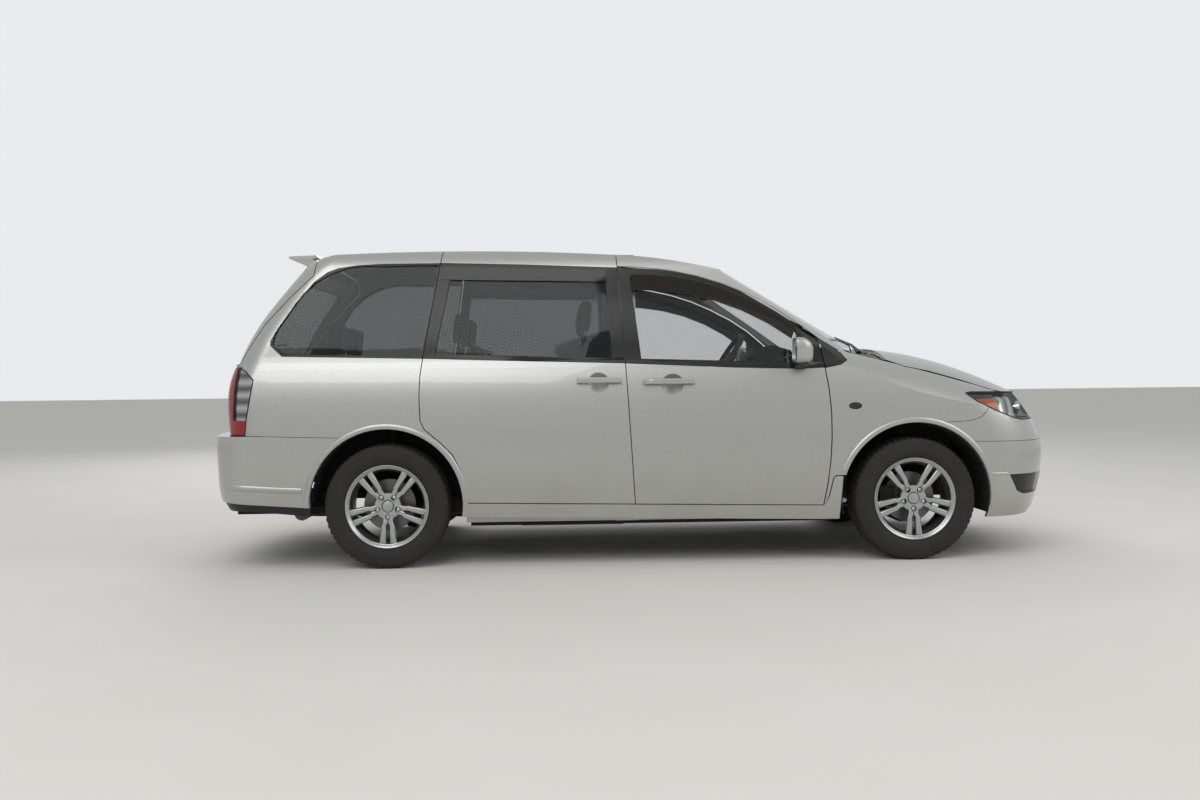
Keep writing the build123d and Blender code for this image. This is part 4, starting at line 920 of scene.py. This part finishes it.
# Middle of the row, side, floor height, width and top of the back, as the solids have them
ROWS = (
    ("driver", -2.5, -370, 232, 500, 1245), ("passenger", -2.5, 370, 232, 500, 1245),
    ("second_right", -722.5, -300, 232, 460, 1180), ("second_left", -722.5, 300, 232, 460, 1180),
    ("third_right", -1442.5, -260, 380, 480, 1130), ("third_left", -1442.5, 260, 380, 480, 1130),
)
for who, x, y, floor, width, top in ROWS:
    back_height = top - floor - 230
    middle = (x - 250 - 0.5 * 60, y, floor + 250 + back_height / 2)
    shapes = (
        ("cushion_" + who, (480, width, 150), (x + 30, y, floor + 225), -5, (-0.52, 0.52), (0.1,)),
        ("back_" + who, (back_height, width - 10, 130), middle, -78, (-0.52, 0.52), (-0.25, 0.3)),
        ("headrest_" + who, (165, 262, 74), (x - 306, y, top + 115), -84, (), ()),
    )
    for name, size, centre, lean, channels, cross in shapes:
        piece = leaned(pad(name, size, channels, cross=cross), centre, lean)
        dress(piece, SEAT_CLOTH, "shell", ("seats",), 80)
        if who in ("driver", "passenger") and not name.startswith("headrest"):
            dress(welt("welt_" + name, size, centre, lean), BLACK_TRIM, "shell")
    base = mesh_object("base_" + who, [
        (x + dx, y + dy * (width / 2 - 60), z) for z, dx_set in ((floor + 1, (-200, 200)), (floor + 160, (-180, 210)))
        for dx, dy in ((dx_set[0], -1), (dx_set[1], -1), (dx_set[1], 1), (dx_set[0], 1))],
        [(3, 2, 1, 0), (4, 5, 6, 7), (0, 1, 5, 4), (1, 2, 6, 5), (2, 3, 7, 6), (3, 0, 4, 7)])
    soft = base.modifiers.new("edge", "BEVEL")
    soft.width, soft.segments = 14 * MM, 3
    dress(baked(base), CABIN_PLASTIC, "shell", (), 40)
    pair = []
    for dy in (-55, 55):
        post = turned("post", [(-52, 5), (52, 5), (52, 0.01), (-52, 0.01)], 12)
        post.data.transform(Matrix.Rotation(pi / 2, 4, "X"))
        pair.append(leaned(mended(post), (x - 306, y + dy, top + 20), 0))
    dress(joined("posts_" + who, pair), CHROME, "shell", (), 40)
print("seats made:", len(ROWS))

# %% [markdown]
# ## Small fittings
# The last pieces are the ones a hand would touch: the mirrors' glass, the wipers and the
# rear number plate with its screws. A bar that changes its width
# along its way is swept through a few stations, each with a half width and half height.

# %% A bar swept through stations
def bar(name, stations, up=(0, 0, 1)):
    """A bevelled bar through (point, half width, half height) stations, in millimetres."""
    points, faces = [], []
    for i, (spot, wide, high) in enumerate(stations):
        spot = Vector(spot)
        before = Vector(stations[max(0, i - 1)][0])
        after = Vector(stations[min(len(stations) - 1, i + 1)][0])
        along = (after - before).normalized()
        side = along.cross(Vector(up)).normalized()
        above = side.cross(along)
        for a, b in ((-1, -0.6), (-0.6, -1), (0.6, -1), (1, -0.6), (1, 0.6), (0.6, 1), (-0.6, 1), (-1, 0.6)):
            points.append(spot + side * wide * a + above * high * b)
    for i in range(len(stations) - 1):
        faces += [(i * 8 + k, i * 8 + (k + 1) % 8, (i + 1) * 8 + (k + 1) % 8, (i + 1) * 8 + k) for k in range(8)]
    last = 8 * (len(stations) - 1)
    faces += [tuple(range(7, -1, -1)), tuple(range(last, last + 8))]
    return mended(mesh_object(name, points, faces))


# %% Wipers on the windscreen and the rear window
SCREEN = skin_of("windscreen")
COWL = skin_of("cowl_panel", "windscreen", "bonnet")
REAR_PANE = skin_of("rear_glass")


def drop(tree, x, y):
    """Height at which a plumb line from above meets a surface, in millimetres."""
    spot, normal, _, _ = tree.ray_cast(Vector((x, y, 2500)) * MM, Vector((0, 0, -1)))
    return spot.z / MM


for name, pivot, arm_end, blade_from, blade_to in (
    ("driver", (1235, -590), (1180, -250), (1196, -560), (1190, 40)),
    ("passenger", (1262, 60), (1190, 330), (1214, 90), (1150, 560)),
):
    tree = COWL
    start = Vector((*pivot, drop(tree, *pivot) + 14))
    end = Vector((*arm_end, drop(tree, *arm_end) + 16))
    arm = bar("wiper_arm_" + name, [(start - Vector((6, 10, 0)), 14, 9), (start + Vector((0, 20, 6)), 13, 8),
                                    ((start * 2 + end) / 3 + Vector((0, 0, 16)), 7, 4), (end, 4, 3)])
    dress(arm, BLACK_TRIM, "shell", (), 40)
    rail, rubber = [], []
    for i in range(13):
        f = i / 12
        x = blade_from[0] + (blade_to[0] - blade_from[0]) * f
        y = blade_from[1] + (blade_to[1] - blade_from[1]) * f
        z = drop(tree, x, y)
        swell = 1 - abs(2 * f - 1) ** 3
        rail.append(((x, y, z + 9 + 3 * swell), 2.5 + 3 * swell, 2.2))
        rubber.append(((x, y, z + 4.2), 1.6, 3.6))
    dress(bar("wiper_blade_" + name, rail), BLACK_TRIM, "shell", (), 40)
    dress(bar("wiper_rubber_" + name, rubber), WIPER_RUBBER, "shell", (), 40)


def behind(z, y):
    """The outside of the rear window at one height, in millimetres."""
    spot, _, _, _ = REAR_PANE.ray_cast(Vector((-3000, y, z)) * MM, Vector((1, 0, 0)))
    return spot.x / MM


arm, rail = [], []
for i in range(13):
    f = i / 12
    y, z = -30 + 400 * f, 1205 + 38 * f
    rail.append(((behind(z, y) - 9, y, z), 3.4, 5.0))
foot = (behind(1200, 0) - 8, 0, 1192)
arm = [(foot, 14, 11), ((foot[0] - 8, 40, 1202), 9, 7), ((behind(1224, 180) - 16, 180, 1226), 5, 4)]
dress(bar("rear_wiper_blade", rail), BLACK_TRIM, "tailgate", (), 40)
dress(bar("rear_wiper_arm", arm), BLACK_TRIM, "tailgate", (), 40)
print("three wipers laid on the glass")


# %% [markdown]
# ## Number plate
# The plate is a pressed sheet with a raised rim, and is left blank. Only the tailgate
# carries one: in front the nose is already the furthest point, and the two screw holes in
# the bumper are left open for a plate.

# %% Blank rear plate with two screws
def plate_blank(name, x, z, lean, out, body):
    """A pressed plate with a raised rim, leaning with the panel that it is screwed to."""
    rows = ((165, 82.5, 0), (165, 82.5, 1.2), (161, 78.5, 2.0), (157, 74.5, 1.0), (0.01, 0.01, 1.0))
    steps, points, faces = 48, [], []
    for half_y, half_z, rise in rows:
        for i in range(steps):
            a = 2 * pi * i / steps
            k = (abs(cos(a)) ** 14 + abs(sin(a)) ** 14) ** (-1 / 14)
            points.append((rise, half_y * cos(a) * k, half_z * sin(a) * k))
    for r in range(len(rows) - 1):
        faces += [(r * steps + i, r * steps + (i + 1) % steps, (r + 1) * steps + (i + 1) % steps,
                   (r + 1) * steps + i) for i in range(steps)]
    made = mesh_object(name, points, faces)
    place = Matrix.Translation(Vector((x, 0, z)) * MM) @ Matrix.Rotation(radians(lean), 4, "Y")
    if out < 0:
        place = place @ Matrix.Rotation(pi, 4, "Z")
    made.data.transform(place)
    dress(mended(made, 0.005), PLATE_WHITE, body, (), 40)
    screws = []
    for y in (-105, 105):
        head = turned("head", [(0.5, 0.01), (0.5, 6), (1.6, 5.4), (2.4, 3), (2.6, 0.01)], 20)
        head.data.transform(place @ Matrix.Translation(Vector((0, y, 0)) * MM) @ Matrix.Rotation(-pi / 2, 4, "Z"))
        screws.append(mended(head))
    dress(joined(name + "_screws", screws), CHROME, body, (), 40)


plate_blank("rear_plate", -2330.5, 985, 10, -1, "tailgate")

# %% [markdown]
# ## Door mirrors
# The housing is a moulded shell, widest at its open back and drawn in to a rounded nose,
# so it is lofted through rounded sections. The silvered glass sits a little inside its
# mouth, and a black foot carries it at the corner of the window.

# %% Mirror housings, glass and feet
HOUSING = ((789, 60, 60, 0, 1142), (790, 64, 65, 0, 1141), (806, 66, 68, 0, 1141), (832, 65, 67, 0, 1139),
           (856, 58, 60, 2, 1134), (872, 46, 49, 4, 1129), (881, 31, 35, 6, 1125), (885, 14, 17, 7, 1122))


def rounded(x, half_y, half_z, y, z, power=4.0, steps=36):
    """A rounded square of points across the x axis."""
    loop = []
    for i in range(steps):
        c, d = cos(2 * pi * i / steps), sin(2 * pi * i / steps)
        k = (abs(c) ** power + abs(d) ** power) ** (-1 / power)
        loop.append((x, y + half_y * c * k, z + half_z * d * k))
    return loop


def lofted(name, loops, first=True, last=True):
    points, n = [p for loop in loops for p in loop], len(loops[0])
    faces = [(r * n + i, r * n + (i + 1) % n, (r + 1) * n + (i + 1) % n, (r + 1) * n + i)
             for r in range(len(loops) - 1) for i in range(n)]
    faces += [tuple(range(n - 1, -1, -1))] * first
    faces += [tuple(range(len(points) - n, len(points)))] * last
    return mended(mesh_object(name, points, faces), 0.005)


for side, out in (("right", -1), ("left", 1)):
    body, y = "front_door_" + side, out * 948
    outer = [rounded(x, hy, hz, y + out * dy, z) for x, hy, hz, dy, z in HOUSING]
    inner = [rounded(x, hy - 5, hz - 5, y + out * dy, z) for x, hy, hz, dy, z in HOUSING[1:4]]
    shell = lofted("mirror_housing_" + side, inner[::-1] + outer)
    dress(shell, BUMPER_PAINT, body, ("door_mirror_" + side,), 50)
    glass = lofted("mirror_glass_" + side, [rounded(x, 58, 59, y, 1141) for x in (798, 801)])
    dress(glass, MIRROR, body, (), 40)
    foot = bar("mirror_foot_" + side, [((836, out * 864, 1064), 40, 20), ((836, out * 905, 1066), 34, 18),
                                       ((834, out * 950, 1076), 27, 12), ((834, out * 985, 1078), 18, 7)])
    dress(foot, BLACK_TRIM, body, (), 45)

# %% [markdown]
# ## Slats and fins
# The radiator behind the grille is a block of thin fins, and the vents of the dashboard
# have short slats. Both are one thin blade repeated along a line, which a second small
# node tree does from a count and a step.

# %% Node tree: repeat a piece along a line
def row_of(obj, count, step, surface):
    """Repeats a mesh along a line with a node tree, and bakes the result; step in millimetres."""
    tree = bpy.data.node_groups.new("repeat along a line", "GeometryNodeTree")
    tree.is_modifier = True
    face = tree.interface
    face.new_socket("Geometry", in_out="INPUT", socket_type="NodeSocketGeometry")
    many = face.new_socket("Count", in_out="INPUT", socket_type="NodeSocketInt")
    apart = face.new_socket("Step", in_out="INPUT", socket_type="NodeSocketVector")
    coat = face.new_socket("Finish", in_out="INPUT", socket_type="NodeSocketMaterial")
    face.new_socket("Geometry", in_out="OUTPUT", socket_type="NodeSocketGeometry")
    given = add(tree, "NodeGroupInput")
    line = add(tree, "GeometryNodeMeshLine", links={"Count": given.outputs["Count"],
                                                    "Offset": given.outputs["Step"]})
    copies = add(tree, "GeometryNodeInstanceOnPoints",
                 links={"Points": line.outputs[0], "Instance": given.outputs["Geometry"]})
    real = add(tree, "GeometryNodeRealizeInstances", links={0: copies.outputs[0]})
    painted = add(tree, "GeometryNodeSetMaterial", links={"Geometry": real.outputs[0],
                                                          "Material": given.outputs["Finish"]})
    add(tree, "NodeGroupOutput", links={0: painted.outputs[0]})
    modifier = obj.modifiers.new("row", "NODES")
    modifier.node_group = tree
    modifier[many.identifier] = count
    modifier[apart.identifier] = tuple(v * MM for v in step)
    modifier[coat.identifier] = surface
    return baked(obj)


# %% Radiator fins, dashboard vents and arm rests
fin = bar("radiator", [((2060, -396, 330), 14, 0.8), ((2060, -396, 720), 14, 0.8)], (0, 1, 0))
dress(row_of(fin, 100, (0, 8, 0), DARK_PLATE), DARK_PLATE, "shell", (), 40)
for name, y in (("vent_right", -610), ("vent_middle", -60), ("vent_centre", 60), ("vent_left", 610)):
    blade = bar(name, [((656, y - 48, 1020), 7, 1.0), ((656, y + 48, 1020), 7, 1.0)])
    dress(row_of(blade, 6, (4, 0, 9), BLACK_TRIM), BLACK_TRIM, "shell", (), 40)
for side, out in (("right", -1), ("left", 1)):
    rest = bar("arm_rest_" + side, [((20, out * 815, 770), 16, 20), ((40, out * 802, 772), 30, 26),
                                    ((300, out * 800, 790), 32, 26), ((470, out * 804, 820), 24, 22),
                                    ((520, out * 815, 836), 12, 14)])
    dress(rest, CABIN_PLASTIC, "front_door_" + side, (), 50)
print("fittings made")

# %% [markdown]
# ## Studio and camera
# A pale floor, a pale sky all round and two large soft lamps keep the light plain, so that
# each finish shows its own colour. The camera stands where the photographer stood: about
# 6.7 m from the van's middle line, at eye height lowered a little, turned 2 degrees
# towards the front.

# %% Floor, light and camera
def studio():
    floor, tree, shader = finish("pale studio floor", "#DAD8D2", 0.9)
    tree.links.new(blend_colours(tree, grain(tree, 900, 3.0), "#D6D4CE", "#DDDBD6"),
                   shader.inputs["Base Color"])
    ground = mesh_object("studio_floor", [(-60000, -60000, 0), (60000, -60000, 0),
                                          (60000, 60000, 0), (-60000, 60000, 0)], [(0, 1, 2, 3)])
    ground.data.materials.append(floor)
    world = bpy.data.worlds.new("pale sky")
    bpy.context.scene.world = world
    world.use_nodes = True
    sky = world.node_tree.nodes["Background"]
    sky.inputs["Color"].default_value = colour("#EDEFF0")
    rays = add(world.node_tree, "ShaderNodeLightPath")
    level = add(world.node_tree, "ShaderNodeMapRange", values={3: 0.66, 4: 0.96},
                links={0: rays.outputs["Is Camera Ray"]})
    world.node_tree.links.new(level.outputs[0], sky.inputs["Strength"])
    for name, spot, aim, size, power in (
        ("key", (-3.0, -7.5, 7.5), (0.2, 0, 0.8), 7.0, 330),
        ("fill", (6.5, -4.0, 5.0), (0.8, 0, 0.7), 5.0, 140),
        ("back", (-2.0, 8.0, 6.0), (0, 0, 1.0), 6.0, 260),
    ):
        lamp = bpy.data.lights.new(name, "AREA")
        lamp.size, lamp.energy = size, power
        holder = bpy.data.objects.new(name, lamp)
        bpy.context.scene.collection.objects.link(holder)
        holder.location = spot
        holder.rotation_euler = (Vector(aim) - Vector(spot)).to_track_quat("-Z", "Y").to_euler()


def photographer():
    yaw, pitch, roll = 0.0347, 0.0206, 0.0115
    forward = Vector((sin(yaw) * cos(pitch), cos(yaw) * cos(pitch), -sin(pitch)))
    level = Vector((cos(yaw), -sin(yaw), 0))
    down = forward.cross(level)
    right = cos(roll) * level + sin(roll) * down
    down = forward.cross(right)
    camera = bpy.data.cameras.new("photographer")
    camera.sensor_width, camera.lens = 36.0, 32.7
    camera.clip_end = 200
    holder = bpy.data.objects.new("photographer", camera)
    turn = Matrix((right, -down, -forward)).transposed().to_4x4()
    holder.matrix_world = Matrix.Translation((-0.444374, -6.688743, 1.006549)) @ turn
    bpy.context.scene.collection.objects.link(holder)
    bpy.context.scene.camera = holder


studio()
photographer()
bpy.context.scene.view_settings.view_transform = "Standard"
print("studio and camera ready")
